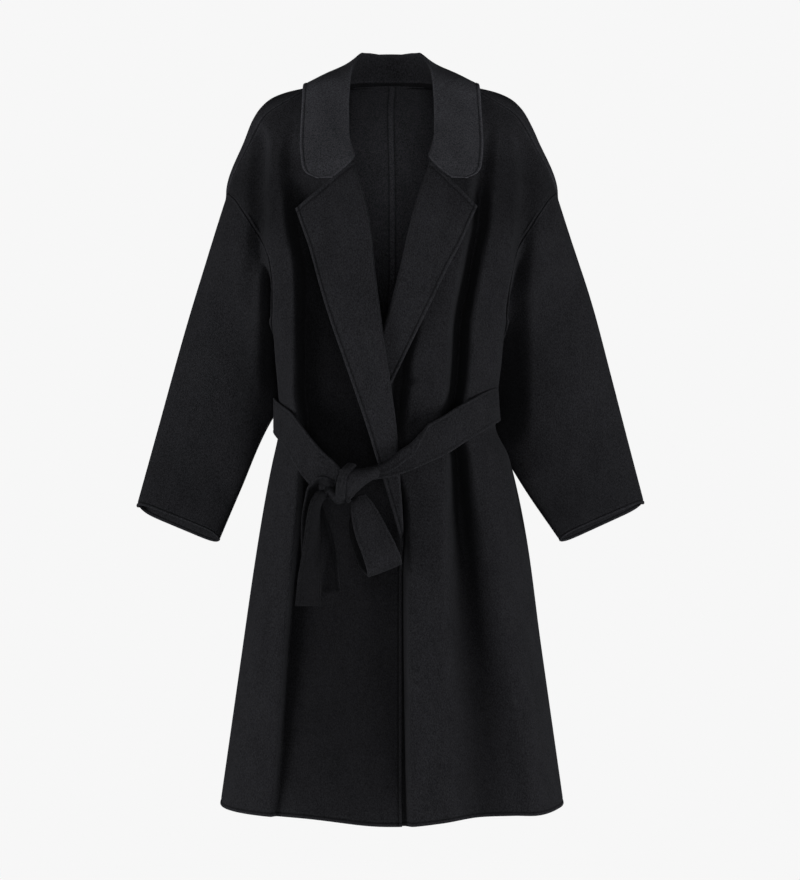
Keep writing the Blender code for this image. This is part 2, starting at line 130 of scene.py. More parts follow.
# %% [markdown]
# ## Two deep pleats
# The belt gathers a wide coat into a small waist, and the spare cloth goes into one deep
# pleat on each side of the front. A cloth simulation would find folds, but not these ones,
# so they are listed one by one. A row gives the angle of the deepest line, its depth, and the
# degrees that the slopes take before it and after it. The right pleat doesn't come up again:
# `held` is the depth that it keeps under the lapel, and a `depth` below zero tips its floor.
# `crisp` is 0 for a soft roll and 1 for the pressed crease that runs down to the hem.

# %% Pleats at the belt
Pleat = namedtuple("Pleat", "girth angle depth before after held crisp", defaults=(0.0, 0.0))
RIGHT_PLEAT = (
    Pleat(0.150, -39.0, 0.000, 7.0, 14.0),
    Pleat(0.190, -38.0, 0.004, 7.0, 14.0),
    Pleat(0.245, -34.5, 0.012, 7.0, 16.0),
    Pleat(0.295, -31.0, 0.006, 6.5, 20.0, 0.022),
    Pleat(0.381, -31.5, -0.016, 8.0, 24.0, 0.060),
    Pleat(0.468, -34.5, -0.024, 9.0, 26.0, 0.074),
    Pleat(0.527, -37.0, -0.024, 10.0, 28.0, 0.078),
    Pleat(0.585, -39.5, -0.018, 11.0, 30.0, 0.074, 0.1),
    Pleat(0.670, -39.5, -0.012, 5.0, 28.0, 0.060, 0.5),
    Pleat(0.757, -39.6, -0.010, 3.0, 26.0, 0.050, 0.8),
    Pleat(0.875, -39.6, -0.011, 2.8, 26.0, 0.047, 1.0),
    Pleat(0.990, -38.8, -0.011, 2.8, 26.0, 0.041, 1.0),
    Pleat(1.106, -37.6, -0.006, 3.0, 26.0, 0.028, 1.0),
    Pleat(HEM, -37.0, -0.002, 3.0, 26.0, 0.013, 1.0),
)
LEFT_PLEAT = (
    Pleat(0.150, 42.0, 0.000, 8.0, 8.0),
    Pleat(0.190, 37.0, 0.004, 8.0, 6.5),
    Pleat(0.245, 30.5, 0.012, 6.0, 5.8),
    Pleat(0.295, 28.0, 0.026, 5.2, 5.6),
    Pleat(0.381, 29.4, 0.048, 6.2, 6.2),
    Pleat(0.468, 30.6, 0.060, 7.0, 7.4),
    Pleat(0.527, 32.0, 0.064, 7.4, 7.8),
    Pleat(0.585, 32.4, 0.064, 7.6, 7.8),
    Pleat(0.670, 29.8, 0.056, 7.0, 8.6, 0.0, 0.1),
    Pleat(0.757, 27.2, 0.046, 8.4, 11.0),
    Pleat(0.817, 26.8, 0.041, 9.6, 13.0),
    Pleat(0.932, 26.2, 0.036, 11.0, 18.0),
    Pleat(1.106, 26.8, 0.026, 13.0, 24.0),
    Pleat(HEM, 26.8, 0.020, 13.5, 25.0),
)
print("the left pleat is up to", 1000 * max(row.depth for row in LEFT_PLEAT), "mm deep")

# %% [markdown]
# ## How far the right pleat reaches
# A pleat that is held has to end somewhere out of sight. It ends under the right lapel
# first, and further down behind the front edge, where the right front lies on the left one.

# %% End of the right pleat
Lap = namedtuple("Lap", "girth edge")
LAP = (
    Lap(0.295, -20.8),
    Lap(0.381, -19.9),
    Lap(0.468, -13.9),
    Lap(0.527, -9.0),
    Lap(0.585, -6.0),
    Lap(0.657, -2.6),
    Lap(0.740, 2.6),
    Lap(HEM, 2.6),
)
LAP_RISE = 2.6
print("the right pleat ends at", LAP[0].edge, "degrees on the chest and", LAP[-1].edge, "at the hem")

# %% [markdown]
# ## Softer folds
# Loose cloth answers a deep fold with smaller ones. Beyond the left pleat the skirt
# swells forward, which is a pleat with a depth below zero. A trough runs along the
# left lapel where the belt pulls it in, and a fold falls from each shoulder towards
# the underarm. The two sides differ, as they do on a coat that somebody tied.

# %% Ridge, trough and shoulder folds
LEFT_RIDGE = (  # stands forward beyond the left pleat
    Pleat(0.690, 44.0, 0.000, 8.0, 14.0),
    Pleat(0.757, 45.0, -0.006, 9.0, 16.0),
    Pleat(0.817, 46.0, -0.012, 10.0, 18.0),
    Pleat(0.932, 50.0, -0.017, 12.0, 20.0),
    Pleat(1.106, 54.0, -0.018, 14.0, 20.0),
    Pleat(HEM, 55.0, -0.015, 14.0, 20.0),
)
LEFT_LAPEL_TROUGH = (
    Pleat(0.440, 9.0, 0.000, 6.0, 4.6),
    Pleat(0.485, 7.4, 0.018, 6.0, 4.6),
    Pleat(0.527, 5.0, 0.028, 6.0, 4.6),
    Pleat(0.585, 4.0, 0.030, 6.0, 4.6),
    Pleat(0.640, 3.6, 0.014, 6.0, 4.2),
    Pleat(0.690, 3.6, 0.000, 6.0, 4.0),
)
RIGHT_SHOULDER_FOLD = (
    Pleat(0.165, -64.5, 0.000, 14.0, 4.5),
    Pleat(0.210, -52.5, 0.011, 14.0, 4.5),
    Pleat(0.260, -47.5, 0.015, 14.0, 4.5),
    Pleat(0.310, -47.0, 0.018, 14.0, 4.5),
    Pleat(0.352, -54.0, 0.022, 14.0, 5.0),
    Pleat(0.390, -60.5, 0.014, 14.0, 6.0),
    Pleat(0.450, -70.0, 0.000, 14.0, 8.0),
)
LEFT_SHOULDER_FOLD = (
    Pleat(0.165, 60.0, 0.000, 6.0, 14.0),
    Pleat(0.210, 54.0, 0.005, 6.0, 14.0),
    Pleat(0.260, 50.0, 0.009, 6.0, 14.0),
    Pleat(0.310, 48.5, 0.011, 6.0, 14.0),
    Pleat(0.352, 52.0, 0.020, 6.0, 14.0),
    Pleat(0.390, 57.0, 0.016, 7.0, 14.0),
    Pleat(0.450, 66.0, 0.000, 8.0, 14.0),
)
PLEATS = (RIGHT_PLEAT, LEFT_PLEAT, LEFT_RIDGE, LEFT_LAPEL_TROUGH, RIGHT_SHOULDER_FOLD, LEFT_SHOULDER_FOLD)


def turned(angle):
    return (angle + 180) % 360 - 180


def pleat_depth(angle, girth):
    total = np.zeros(np.broadcast(angle, girth).shape)
    lap = 1 - ramp(turned(angle) - read(LAP, "edge", girth), 0.0, LAP_RISE)
    for table in PLEATS:
        off = turned(angle - read(table, "angle", girth))
        width = np.where(off < 0, read(table, "before", girth), read(table, "after", girth))
        t = np.clip(1 - np.abs(off) / width, 0.0, 1.0)
        soft = t * t * (3 - 2 * t)
        sharp = np.where(off < 0, np.sin(t * math.pi / 2), soft)
        wall = soft + (sharp - soft) * read(table, "crisp", girth)
        held = read(table, "held", girth) * np.where(off < 0, wall, lap)
        total += read(table, "depth", girth) * wall + held
    return total


print("the right pleat is", round(1000 * float(pleat_depth(-33.0, 0.670))), "mm deep under the belt")

# %% [markdown]
# ## Hollows of the sides and the back
# Under each arm the cloth sinks in between front and back, and the gathered back falls
# in four shallow flutes. Nothing sharp is wanted here, so each hollow is a bell curve
# across and a short table of angles and depths down the coat. It could be painted with
# a sculpting brush, but then it could not be mended by changing a number.

# %% Hollows
HOLLOW_GIRTHS = (0.285, 0.380, 0.480, 0.540, 0.610, 0.800, HEM)
HOLLOW_START = 0.130
SIDE_HOLLOW = 21  # half-widths in degrees
BACK_FLUTE = 12
MIDDLE_FLUTE = 9
BACK_DEPTHS = (0, 0.004, 0.010, 0.014, 0.020, 0.016, 0.012)
MIDDLE_DEPTHS = (0, 0.004, 0.010, 0.014, 0.018, 0.014, 0.010)
Hollow = namedtuple("Hollow", "half_width angles depths")
HOLLOWS = (
    Hollow(SIDE_HOLLOW, (-90, -93, -99, -102, -99, -96, -96), (0, 0.028, 0.050, 0.042, 0.004, 0, 0)),
    Hollow(SIDE_HOLLOW, (90, 93, 100, 104, 101, 98, 98), (0, 0.028, 0.050, 0.044, 0.004, 0, 0)),
    Hollow(BACK_FLUTE, (-130, -130, -132, -132, -128, -124, -122), BACK_DEPTHS),
    Hollow(BACK_FLUTE, (132, 132, 134, 134, 130, 126, 124), BACK_DEPTHS),
    Hollow(MIDDLE_FLUTE, (-158, -158, -157, -157, -156, -155, -154), MIDDLE_DEPTHS),
    Hollow(MIDDLE_FLUTE, (156, 156, 157, 158, 158, 156, 155), MIDDLE_DEPTHS),
)


def hollow_depth(angle, girth):
    total = np.zeros(np.broadcast(angle, girth).shape)
    fade = ramp(girth, HOLLOW_START, HOLLOW_GIRTHS[0])
    for hollow in HOLLOWS:
        off = turned(angle - smooth(HOLLOW_GIRTHS, hollow.angles, girth))
        bell = np.exp(-((off / hollow.half_width) ** 2))
        total += fade * smooth(HOLLOW_GIRTHS, hollow.depths, girth) * bell
    return total


print("under the arm the cloth sinks in by", round(1000 * float(hollow_depth(-99.0, UNDERARM))), "mm")

# %% [markdown]
# ## From angle and girth to a point
# `form` turns the two numbers into a point in space. The ring comes first, then the
# hollows, which press towards the middle, and the distance that a piece stands off, such
# as a belt that goes over the cloth. The pleats are pressed straight back instead,
# because a pleat that points at the middle would show its floor from the front as a flat
# pale strip. The hem is a little longer at the centre front, and the neck rises behind.

# %% The form
HEM_DIP = 0.0095
HEM_DIP_FROM = 1.000
HEM_DIP_ANGLE = 15.0
NECK_RISE = 0.0075
NECK_RISE_ANGLE = 75.0
NECK_RISE_UNTIL = 0.050


def signed_power(value, power):
    return np.copysign(np.abs(value) ** power, value)


def neck_rise(angle, girth):
    near_neck = 1 - ramp(girth, 0.0, NECK_RISE_UNTIL)
    near_back = 1 - ramp(np.abs(turned(angle - 180)), 0.0, NECK_RISE_ANGLE)
    return NECK_RISE * near_neck * near_back


def form(angle, girth, off=0.0, folded=1.0):
    angle, girth = np.broadcast_arrays(np.asarray(angle, float), np.asarray(girth, float))
    turn = np.radians(angle)
    depth = np.where(np.cos(turn) > 0, read(SECTIONS, "front", girth), read(SECTIONS, "back", girth))
    x = read(SECTIONS, "half_width", girth) * signed_power(np.sin(turn), 2 / ROUNDNESS)
    y = -depth * signed_power(np.cos(turn), 2 / ROUNDNESS)
    pleat = folded * pleat_depth(angle, girth)
    scale = 1 + (off - folded * hollow_depth(angle, girth)) / np.hypot(x, y)
    dip = HEM_DIP * ramp(girth, HEM_DIP_FROM, HEM) * np.exp(-((angle / HEM_DIP_ANGLE) ** 2))
    height = read(SECTIONS, "height", girth) - dip + neck_rise(angle, girth)
    return np.stack((read(SECTIONS, "middle", girth) + x * scale, y * scale + pleat, height), axis=-1)


print("the side of the hem is at", form(90.0, HEM).round(3))

# %% [markdown]
# ## The way back
# Lapels and the belt are measured straight from the front, as a height and a distance
# from the middle. These two helpers find the girth and the angle that belong to them.

# %% Girth of a height, angle of a distance
def girth_at(height):
    return smooth([-row.height for row in SECTIONS], [row.girth for row in SECTIONS], -np.asarray(height))


def angle_at(x, girth):
    x = np.asarray(x) - read(SECTIONS, "middle", girth)
    share = np.minimum(np.abs(x) / read(SECTIONS, "half_width", girth), 1.0)
    return np.copysign(np.degrees(np.arcsin(share ** (ROUNDNESS / 2))), x)


print("half a metre below the neck the girth is", round(float(girth_at(-0.5)), 3))

# %% [markdown]
# ## Edges and seams
# On double-faced wool the two faces are split open at an edge, turned in and sewn together by
# hand. That leaves a soft round lip about five millimetres wide, with a fine groove behind it.
# It could be painted as a bump, but a groove that catches the light has to be in the mesh. So
# each point of a sheet carries its share of the full thickness: the lip is full, the groove a
# quarter, and Solidify does the rest on both faces at once. Each point also carries its
# `nap`, a number that the colour is multiplied by. Above 1 a lip is painted paler,
# partly worn fibres and partly a painted highlight; below 1 a groove or a fold is painted darker, as shade.

# %% Profiles of the edges
CLOTH = 0.0022
FLAT_SHARE = 0.68
Lip = namedtuple("Lip", "distance share nap")
# The last column paints the edges: a paler lip, partly wear and partly painted highlight, and a darker
# groove, painted shade.
FREE_EDGE = (
    Lip(0.0000, 0.40, 1.15), Lip(0.0005, 0.74, 1.25), Lip(0.0012, 0.95, 1.30),
    Lip(0.0022, 1.00, 1.22), Lip(0.0034, 0.98, 1.08), Lip(0.0043, 0.70, 0.80),
    Lip(0.0052, 0.26, 0.52), Lip(0.0062, 0.52, 0.78), Lip(0.0078, FLAT_SHARE, 1.00),
)
SEAM = (
    Lip(0.0000, 0.20, 0.45), Lip(0.0008, 0.34, 0.55), Lip(0.0017, 0.70, 1.00),
    Lip(0.0028, 0.95, 1.35), Lip(0.0040, 0.90, 1.25), Lip(0.0062, FLAT_SHARE, 1.00),
)
FELLED_SEAM = (
    Lip(0.0000, 0.96, 1.30), Lip(0.0030, 1.00, 1.25), Lip(0.0040, 0.70, 0.85),
    Lip(0.0050, 0.22, 0.50), Lip(0.0060, 0.52, 0.80), Lip(0.0074, FLAT_SHARE, 1.00),
)
BELT_EDGE = (
    Lip(0.0000, 0.45, 1.10), Lip(0.0006, 0.64, 1.15), Lip(0.0014, 0.76, 1.12),
    Lip(0.0030, 0.74, 1.04), Lip(0.0042, 0.64, 0.92), Lip(0.0052, 0.56, 0.84),
    Lip(0.0062, 0.62, 0.92), Lip(0.0078, FLAT_SHARE, 1.00),
)
BESIDE_EDGE = [0.0094, 0.0115]  # two more points before the even ones begin
EDGE_STEPS = np.array([row.distance for row in FREE_EDGE] + BESIDE_EDGE)
SEAM_STEPS = EDGE_STEPS[:len(FREE_EDGE)]
LEAST_SHARE = 0.05


def edged(*edges):
    """Share of the thickness, and the painted light and shade (paler lip, painted shade in the groove), for
    edges that are each a profile and a distance.
    """
    share = FLAT_SHARE
    nap = 1.0
    for profile, distance in edges:
        share = share * read(profile, "share", distance) / FLAT_SHARE
        nap = nap * read(profile, "nap", distance)
    return np.clip(share, LEAST_SHARE, 1.0), nap


print("an edge lip is", 1000 * FREE_EDGE[6].distance, "mm wide")

# %% [markdown]
# ## A sheet of cloth
# Each piece starts as a flat grid from `bmesh.ops.create_grid`, and its points are moved
# to their places on the form. The places are first worked out very finely along a row,
# then picked again by their distance along the cloth: close together at the two edges,
# where the lip is, and evenly between. So the steep wall of a pleat gets as many points as
# a flat panel of the same length. Evenly spaced angles would leave it with three or four.

# %% Points along a row
FINE = 700
ROOM_FOR_EDGES = 0.6  # share of a very short row that its two edges may take


def pick_along(fine, start_steps, count, end_steps):
    gaps = np.linalg.norm(np.diff(fine[..., :3], axis=1), axis=2)
    run = np.concatenate((np.zeros((len(fine), 1)), np.cumsum(gaps, axis=1)), axis=1)
    room = start_steps[-1] + end_steps[-1]
    points = np.empty((len(fine), len(start_steps) + count + len(end_steps), fine.shape[2]))
    near_start = np.empty(points.shape[:2])
    near_end = np.empty(points.shape[:2])
    for row, length in enumerate(run[:, -1]):
        shrink = min(1.0, ROOM_FOR_EDGES * length / room)
        starts = start_steps * shrink
        ends = length - end_steps[::-1] * shrink
        between = np.linspace(starts[-1], ends[0], count + 2)[1:-1]
        at = np.concatenate((starts, between, ends))
        for axis in range(fine.shape[2]):
            points[row, :, axis] = np.interp(at, run[row], fine[row, :, axis])
        near_start[row] = at
        near_end[row] = length - at
    return points, near_start, near_end


print("a row is worked out at", FINE, "places before its points are picked")

# %% [markdown]
# ## The grid itself
# `create_grid` lays a flat square of points, and each one finds its row and column
# from where it lies. It gets its place on the form, its share of the thickness as
# a weight, and its painted light and shade as an attribute that the wool can read.
# `from_pydata` would take the same points, but every face would have to be written out for it.

# %% Grid of points
def lay_grid(mesh, points, shares, nap=1.0):
    rows, columns = points.shape[:2]
    weight = mesh.verts.layers.deform.verify()
    # this attribute holds the painted light and shade of the cloth, with some edge wear
    tone = mesh.verts.layers.float.get("nap") or mesh.verts.layers.float.new("nap")
    nap = np.broadcast_to(nap, shares.shape)
    made = bmesh.ops.create_grid(mesh, x_segments=columns - 1, y_segments=rows - 1, size=0.5)
    for vert in made["verts"]:
        column = round((vert.co.x + 0.5) * (columns - 1))
        row = round((vert.co.y + 0.5) * (rows - 1))
        vert.co = points[row, column]
        vert[weight][0] = shares[row, column]
        vert[tone] = nap[row, column]


print("each point of a grid keeps its share of the thickness and its nap")

# %% [markdown]
# ## The wool
# Brushed wool has no shine. Its fibres stand up a little, so a fold seen edge-on is paler
# than one seen face-on: that is what Sheen does. Up close the black is not even. Short
# fibres, felted clumps and slow patches each get a noise texture of their own scale, in
# metres on Object coordinates, stretched along the nap, which lies downwards. A photo of
# cloth would tile and stretch over the folds, and noise in space does neither.

# %% Noise textures
WOOL_DARK = (0.0056, 0.0057, 0.0066)
WOOL_LIGHT = (0.0212, 0.0214, 0.0242)
DARK_AT = 0.38  # places on the colour ramp
LIGHT_AT = 0.62
Grain = namedtuple("Grain", "scale detail stretch")
FIBRES = Grain(1500.0, 3.0, (1.0, 1.0, 0.40))
FELT = Grain(680.0, 2.0, (1.0, 1.0, 0.60))
PATCHES = Grain(40.0, 2.0, (1.0, 1.0, 0.5))


def noise(tree, place, grain):
    mapping = tree.nodes.new("ShaderNodeMapping")
    mapping.inputs["Scale"].default_value = grain.stretch
    texture = tree.nodes.new("ShaderNodeTexNoise")
    texture.inputs["Scale"].default_value = grain.scale
    texture.inputs["Detail"].default_value = grain.detail
    tree.links.new(place, mapping.inputs["Vector"])
    tree.links.new(mapping.outputs["Vector"], texture.inputs["Vector"])
    return texture.outputs["Fac"]


def mixed(tree, first, second, share):
    mix = tree.nodes.new("ShaderNodeMix")
    mix.inputs["Factor"].default_value = share
    tree.links.new(first, mix.inputs["A"])
    tree.links.new(second, mix.inputs["B"])
    return mix.outputs["Result"]


print("the wool goes from", WOOL_DARK, "to", WOOL_LIGHT)

# %% [markdown]
# ## The wool, and a copy painted lighter
# The noise drives a colour ramp between two blacks, and a Vector Math node scales the
# colour by each point's painted light and shade. The same noise lifts the surface by a fraction of a
# millimetre. Double-faced cloth is woven as two layers. The material is made twice, and Solidify gives
# the second one, painted twice as light, to the inside: painted light on the inside of the back.

# %% Wool material
FELT_SHARE = 0.55
PATCH_SHARE = 0.10
INSIDE_PAINTED_LIGHT = 2.0  # the inside of the back is painted twice as light


def wool_colour(tree, shades, paler):
    colour = tree.nodes.new("ShaderNodeValToRGB")
    colour.color_ramp.elements[0].position = DARK_AT
    colour.color_ramp.elements[0].color = (*[paler * value for value in WOOL_DARK], 1.0)
    colour.color_ramp.elements[1].position = LIGHT_AT
    colour.color_ramp.elements[1].color = (*[paler * value for value in WOOL_LIGHT], 1.0)
    tree.links.new(shades, colour.inputs["Fac"])
    # the colour is multiplied by the painted light and shade that each point carries
    nap = tree.nodes.new("ShaderNodeAttribute")
    nap.attribute_name = "nap"
    painted_shading = tree.nodes.new("ShaderNodeVectorMath")
    painted_shading.operation = "SCALE"
    tree.links.new(colour.outputs["Color"], painted_shading.inputs[0])
    tree.links.new(nap.outputs["Fac"], painted_shading.inputs["Scale"])
    return painted_shading.outputs["Vector"]


def black_wool(name, paler):
    material = bpy.data.materials.new(name)
    material.use_nodes = True
    tree = material.node_tree
    shader = tree.nodes["Principled BSDF"]
    place = tree.nodes.new("ShaderNodeTexCoord").outputs["Object"]
    fibres = noise(tree, place, FIBRES)
    felt = noise(tree, place, FELT)
    patches = noise(tree, place, PATCHES)
    surface = mixed(tree, fibres, felt, FELT_SHARE)
    shades = mixed(tree, surface, patches, PATCH_SHARE)
    tree.links.new(wool_colour(tree, shades, paler), shader.inputs["Base Color"])
    bump = tree.nodes.new("ShaderNodeBump")
    bump.inputs["Strength"].default_value = 0.6
    bump.inputs["Distance"].default_value = 0.0007
    tree.links.new(surface, bump.inputs["Height"])
    tree.links.new(bump.outputs["Normal"], shader.inputs["Normal"])
    shader.inputs["Roughness"].default_value = 0.95
    shader.inputs["Specular IOR Level"].default_value = 0.06
    shader.inputs["Sheen Weight"].default_value = 0.015
    shader.inputs["Sheen Roughness"].default_value = 0.45
    shader.inputs["Sheen Tint"].default_value = (0.86, 0.90, 1.0, 1.0)
    return material


wool = black_wool("black_wool", 1.0)
# a copy of the wool painted twice as light, for the inside of the back
wool_inside_painted_light = black_wool("black_wool_inside_painted_light", INSIDE_PAINTED_LIGHT)
print("wool material with", len(wool.node_tree.nodes), "nodes")

# %% [markdown]
# ## From a grid to cloth
# A finished grid has no thickness yet. Points that lie on each other are merged, the
# faces are turned the same way, and Solidify grows the cloth to both sides of the grid,
# with the shares as its vertex group. The inner face of the backs is seen through the
# neck, so they alone name the direction that is outwards and get both faces, the inner one painted lighter.

# %% Cloth with its thickness
MERGE = 1e-5


def finish_cloth(mesh, name, thickness=CLOTH, outwards=None):
    bmesh.ops.remove_doubles(mesh, verts=mesh.verts, dist=MERGE)
    bmesh.ops.recalc_face_normals(mesh, faces=mesh.faces)
    if outwards is not None and sum(face.normal.dot(outwards) for face in mesh.faces) < 0:
        bmesh.ops.reverse_faces(mesh, faces=mesh.faces)
    data = bpy.data.meshes.new(name)
    mesh.to_mesh(data)
    mesh.free()
    data.shade_smooth()
    piece = bpy.data.objects.new(name, data)
    bpy.context.scene.collection.objects.link(piece)
    piece.vertex_groups.new(name="share_of_thickness")
    solidify = piece.modifiers.new("thickness", "SOLIDIFY")
    solidify.thickness = thickness / FLAT_SHARE
    solidify.offset = 0.0
    solidify.vertex_group = "share_of_thickness"
    data.materials.append(wool)
    if outwards is not None:
        data.materials.append(wool_inside_painted_light)
        solidify.material_offset = 1
    print(name, "has", len(data.polygons), "faces before it gets its thickness")
    return piece


print("flat cloth is", 1000 * CLOTH, "mm thick")

# %% [markdown]
# ## Rows of the body
# Fronts and backs share their rows, so their seams meet point for point. Rows lie
# about five millimetres apart, and closer where an edge or a slanting fold needs
# them: along the top of the lapels, round the bottom of the armhole, above the
# belt and at the hem. One fine step everywhere would only make the file heavier.

# %% Rows
ROW_STEP = 0.0050
Band = namedtuple("Band", "upto step")
BANDS = (
    Band(GORGE - 0.002, ROW_STEP), Band(GORGE, 0.0010), Band(GORGE + 0.010, 0.0010), Band(DROP, ROW_STEP),
    Band(0.300, 0.0025), Band(0.440, 0.0040), Band(0.466, 0.0026), Band(UNDERARM, 0.0010),
    Band(0.496, ROW_STEP), Band(0.572, 0.0032), Band(LEFT_BREAK, ROW_STEP), Band(RIGHT_BREAK, ROW_STEP),
    Band(HEM - EDGE_STEPS[-1], ROW_STEP),
)


def body_rows():
    rows = [FRONT_TOP]
    for band in BANDS:
        count = max(1, round((band.upto - rows[-1]) / band.step))
        rows += list(np.linspace(rows[-1], band.upto, count + 1)[1:])
    return np.array(rows + list(HEM - EDGE_STEPS[-2::-1]))


ROWS = body_rows()
print(len(ROWS), "rows from the shoulder to the hem")

# %% [markdown]
# ## Where the seams run
# The shoulder seam lies in front of the top of the shoulder, so a strip of the back shows above it, and it
# ends at the top of the armhole. The armhole is a closed curve on the form, and below it the side seam runs
# straight down. All three are angles at a girth, which keeps a seam on the form whatever the folds do.

# %% Seam lines
SIDE = 90.0
BACK = 180.0

Shoulder = namedtuple("Shoulder", "girth angle")
SHOULDER = (
    Shoulder(NECK, 64.0),
    Shoulder(0.020, 62.0),
    Shoulder(0.110, 51.0),
    Shoulder(0.155, 64.5),
    Shoulder(0.190, 68.5),
    Shoulder(0.240, 71.5),
    Shoulder(DROP, 78.0),
)
Armhole = namedtuple("Armhole", "girth front back")
ARMHOLE = (
    Armhole(DROP, 78.0, 78.0),
    Armhole(0.285, 69.0, 94.0),
    Armhole(0.300, 63.5, 106.0),
    Armhole(0.325, 57.0, 117.0),
    Armhole(0.360, 52.5, 124.0),
    Armhole(0.400, 54.5, 125.0),
    Armhole(0.435, 58.5, 119.0),
    Armhole(0.460, 63.5, 110.0),
    Armhole(UNDERARM, SIDE, SIDE),
)


def outer_edge(girth, face):
    shoulder = read(SHOULDER, "angle", girth)
    armhole = read(ARMHOLE, face, girth)
    return np.where(girth <= DROP, shoulder, np.where(girth < UNDERARM, armhole, SIDE))


print("the armhole is", round(1000 * (UNDERARM - DROP)), "mm deep")

# %% [markdown]
# ## The back
# Two halves, joined by a felled seam down the middle: its allowances are folded flat
# inside, and the strip shows through the neck. Each half runs from that seam to the
# shoulder, the armhole and the side. One sheet for the whole back would be shorter
# to write, but a tailor cuts two, and the seam between them is then a real one.

# %% Back panels
BACK_COLUMNS = 84
BELOW_NECK = 0.016
SEAM_SIDE_PAINTED_LIGHT = 1.7  # the strip of the back above the shoulder seam is painted lighter, as light from above
SEAM_SIDE = (0.012, 0.030)


def back_panel(side):
    rows = np.concatenate((NECK + SEAM_STEPS, [BELOW_NECK], ROWS))
    share = np.linspace(0.0, 1.0, FINE)
    edge = outer_edge(rows, "back")
    angle = BACK * (1 - share) + edge[:, None] * share
    fine = form(side * angle, rows[:, None])
    points, from_middle, from_edge = pick_along(fine, SEAM_STEPS, BACK_COLUMNS, SEAM_STEPS)
    from_hem = (HEM - rows)[:, None]
    from_neck = (rows - NECK)[:, None]
    edges = ((SEAM, from_edge), (FELLED_SEAM, from_middle), (FREE_EDGE, from_hem), (SEAM, from_neck))
    shares, nap = edged(*edges)
    # painted light: the strip of the back beside the shoulder seam is painted paler
    beside = (1 - ramp(from_edge, *SEAM_SIDE)) * (rows < DROP)[:, None]
    nap = nap * (1 + (SEAM_SIDE_PAINTED_LIGHT - 1) * beside)
    mesh = bmesh.new()
    lay_grid(mesh, points, shares, nap)
    name = "back_half_left" if side > 0 else "back_half_right"
    return finish_cloth(mesh, name, CLOTH, Vector((0.0, 1.0, 0.0)))


back_right = back_panel(-1)
back_left = back_panel(1)

# %% [markdown]
# ## Front edges
# A front is cut in one with its lapel. Its edge is the roll line of the lapel as far as the break, and the
# free front edge below. The table gives it as a distance from the middle, because that is how it is seen.
# The right front is worn on top, so near the middle it stands off the left one by the height of a lift.

# %% Edges and lifts of the fronts
Edge = namedtuple("Edge", "girth right left")
FRONT_EDGES = (
    Edge(FRONT_TOP, -0.0730, 0.0730),
    Edge(0.080, -0.0745, 0.0745),
    Edge(0.135, -0.0725, 0.0725),
    Edge(0.190, -0.0680, 0.0680),
    Edge(GORGE, -0.0545, 0.0545),
    Edge(0.310, -0.0350, 0.0315),
    Edge(0.400, -0.0230, 0.0110),
    Edge(0.480, -0.0130, -0.0100),
    Edge(0.610, 0.0020, -0.0430),
    Edge(LEFT_BREAK, 0.0085, -0.0600),
    Edge(RIGHT_BREAK, 0.0145, -0.0750),
    Edge(HEM, 0.0145, -0.0750),
)
Lift = namedtuple("Lift", "girth height")
RIGHT_LIFTS = (
    Lift(0.360, 0.000),
    Lift(0.440, 0.010),
    Lift(0.500, 0.0135),
    Lift(0.660, 0.0135),
    Lift(0.750, 0.010),
    Lift(0.850, 0.008),
    Lift(HEM, 0.007),
)
LIFT_FROM = -0.170
LIFT_FULL = -0.075


def front_lift(side, angle, girth):
    if side > 0:
        return 0.0
    flat_x = form(angle, girth, 0.0, 0.0)[..., 0]
    return read(RIGHT_LIFTS, "height", girth) * ramp(flat_x, LIFT_FROM, LIFT_FULL)


print("the right front stands off by up to", 1000 * max(row.height for row in RIGHT_LIFTS), "mm")

# %% [markdown]
# ## The roll of a lapel
# Thick wool does not fold sharply: it turns back on itself round a small radius. `lean` gives
# the round of that turn on the front and on the lapel, so the two sheets meet in one smooth
# roll. The radius runs out at the top, where the collar takes over, and at the break, where the
# lapel ends. A Bevel could round a sharp fold too, but not with a radius that changes along it.

# %% Lapels and their roll
ROLL_RADIUS = 0.0036
ROLL_FROM = 0.012  # above the gorge
ROLL_END = 0.080  # above the break
Lapel = namedtuple("Lapel", "name tip_x tip_z last belly")
LAPELS = {
    -1: Lapel("right", -0.134, -0.197, RIGHT_BREAK, 0.007),
    1: Lapel("left", 0.119, -0.194, LEFT_BREAK, 0.0),
}


def roll_radius(side, girth):
    last = LAPELS[side].last
    return ROLL_RADIUS * ramp(girth, GORGE - ROLL_FROM, GORGE) * (1 - ramp(girth, last - ROLL_END, last))


def lean(distance, radius):
    """How far the round of the roll has come away from the front, at a distance from its outermost line."""
    inside = np.clip(radius - distance, 0.0, radius)
    return np.sqrt(np.maximum(radius ** 2 - inside ** 2, 0.0))


print("a lapel rolls over", 2000 * ROLL_RADIUS, "mm")

# %% [markdown]
# ## The main part of a front
# The sheet runs from the front edge to the shoulder, the armhole and the side. The folds come in only at a
# distance from the roll line, which lies hidden under the lapel, so the opening itself stays as straight
# as a pressed lapel keeps it. The sheet also notes how deep in a fold each point is, to paint shade there.

# %% Front without its lapel
Fade = namedtuple("Fade", "girth distance")
FOLD_FADE = (
    Fade(GORGE, 0.034),
    Fade(0.440, 0.034),
    Fade(0.520, 0.026),
    Fade(0.600, 0.014),
    Fade(0.650, 0.008),
    Fade(0.700, 0.004),
    Fade(RIGHT_BREAK, 0.002),
)
OPEN_UNTIL = {-1: (0.740, 0.840), 1: (0.500, 0.560)}  # girths from open to lapped
FRONT_COLUMNS = 104
FRONT_CROWD = 1.15  # above 1, the fine places crowd towards the front edge
FOLD_PAINTED_SHADE_DEPTH = 0.034
FOLD_PAINTED_SHADE_FROM = (0.250, 0.420)


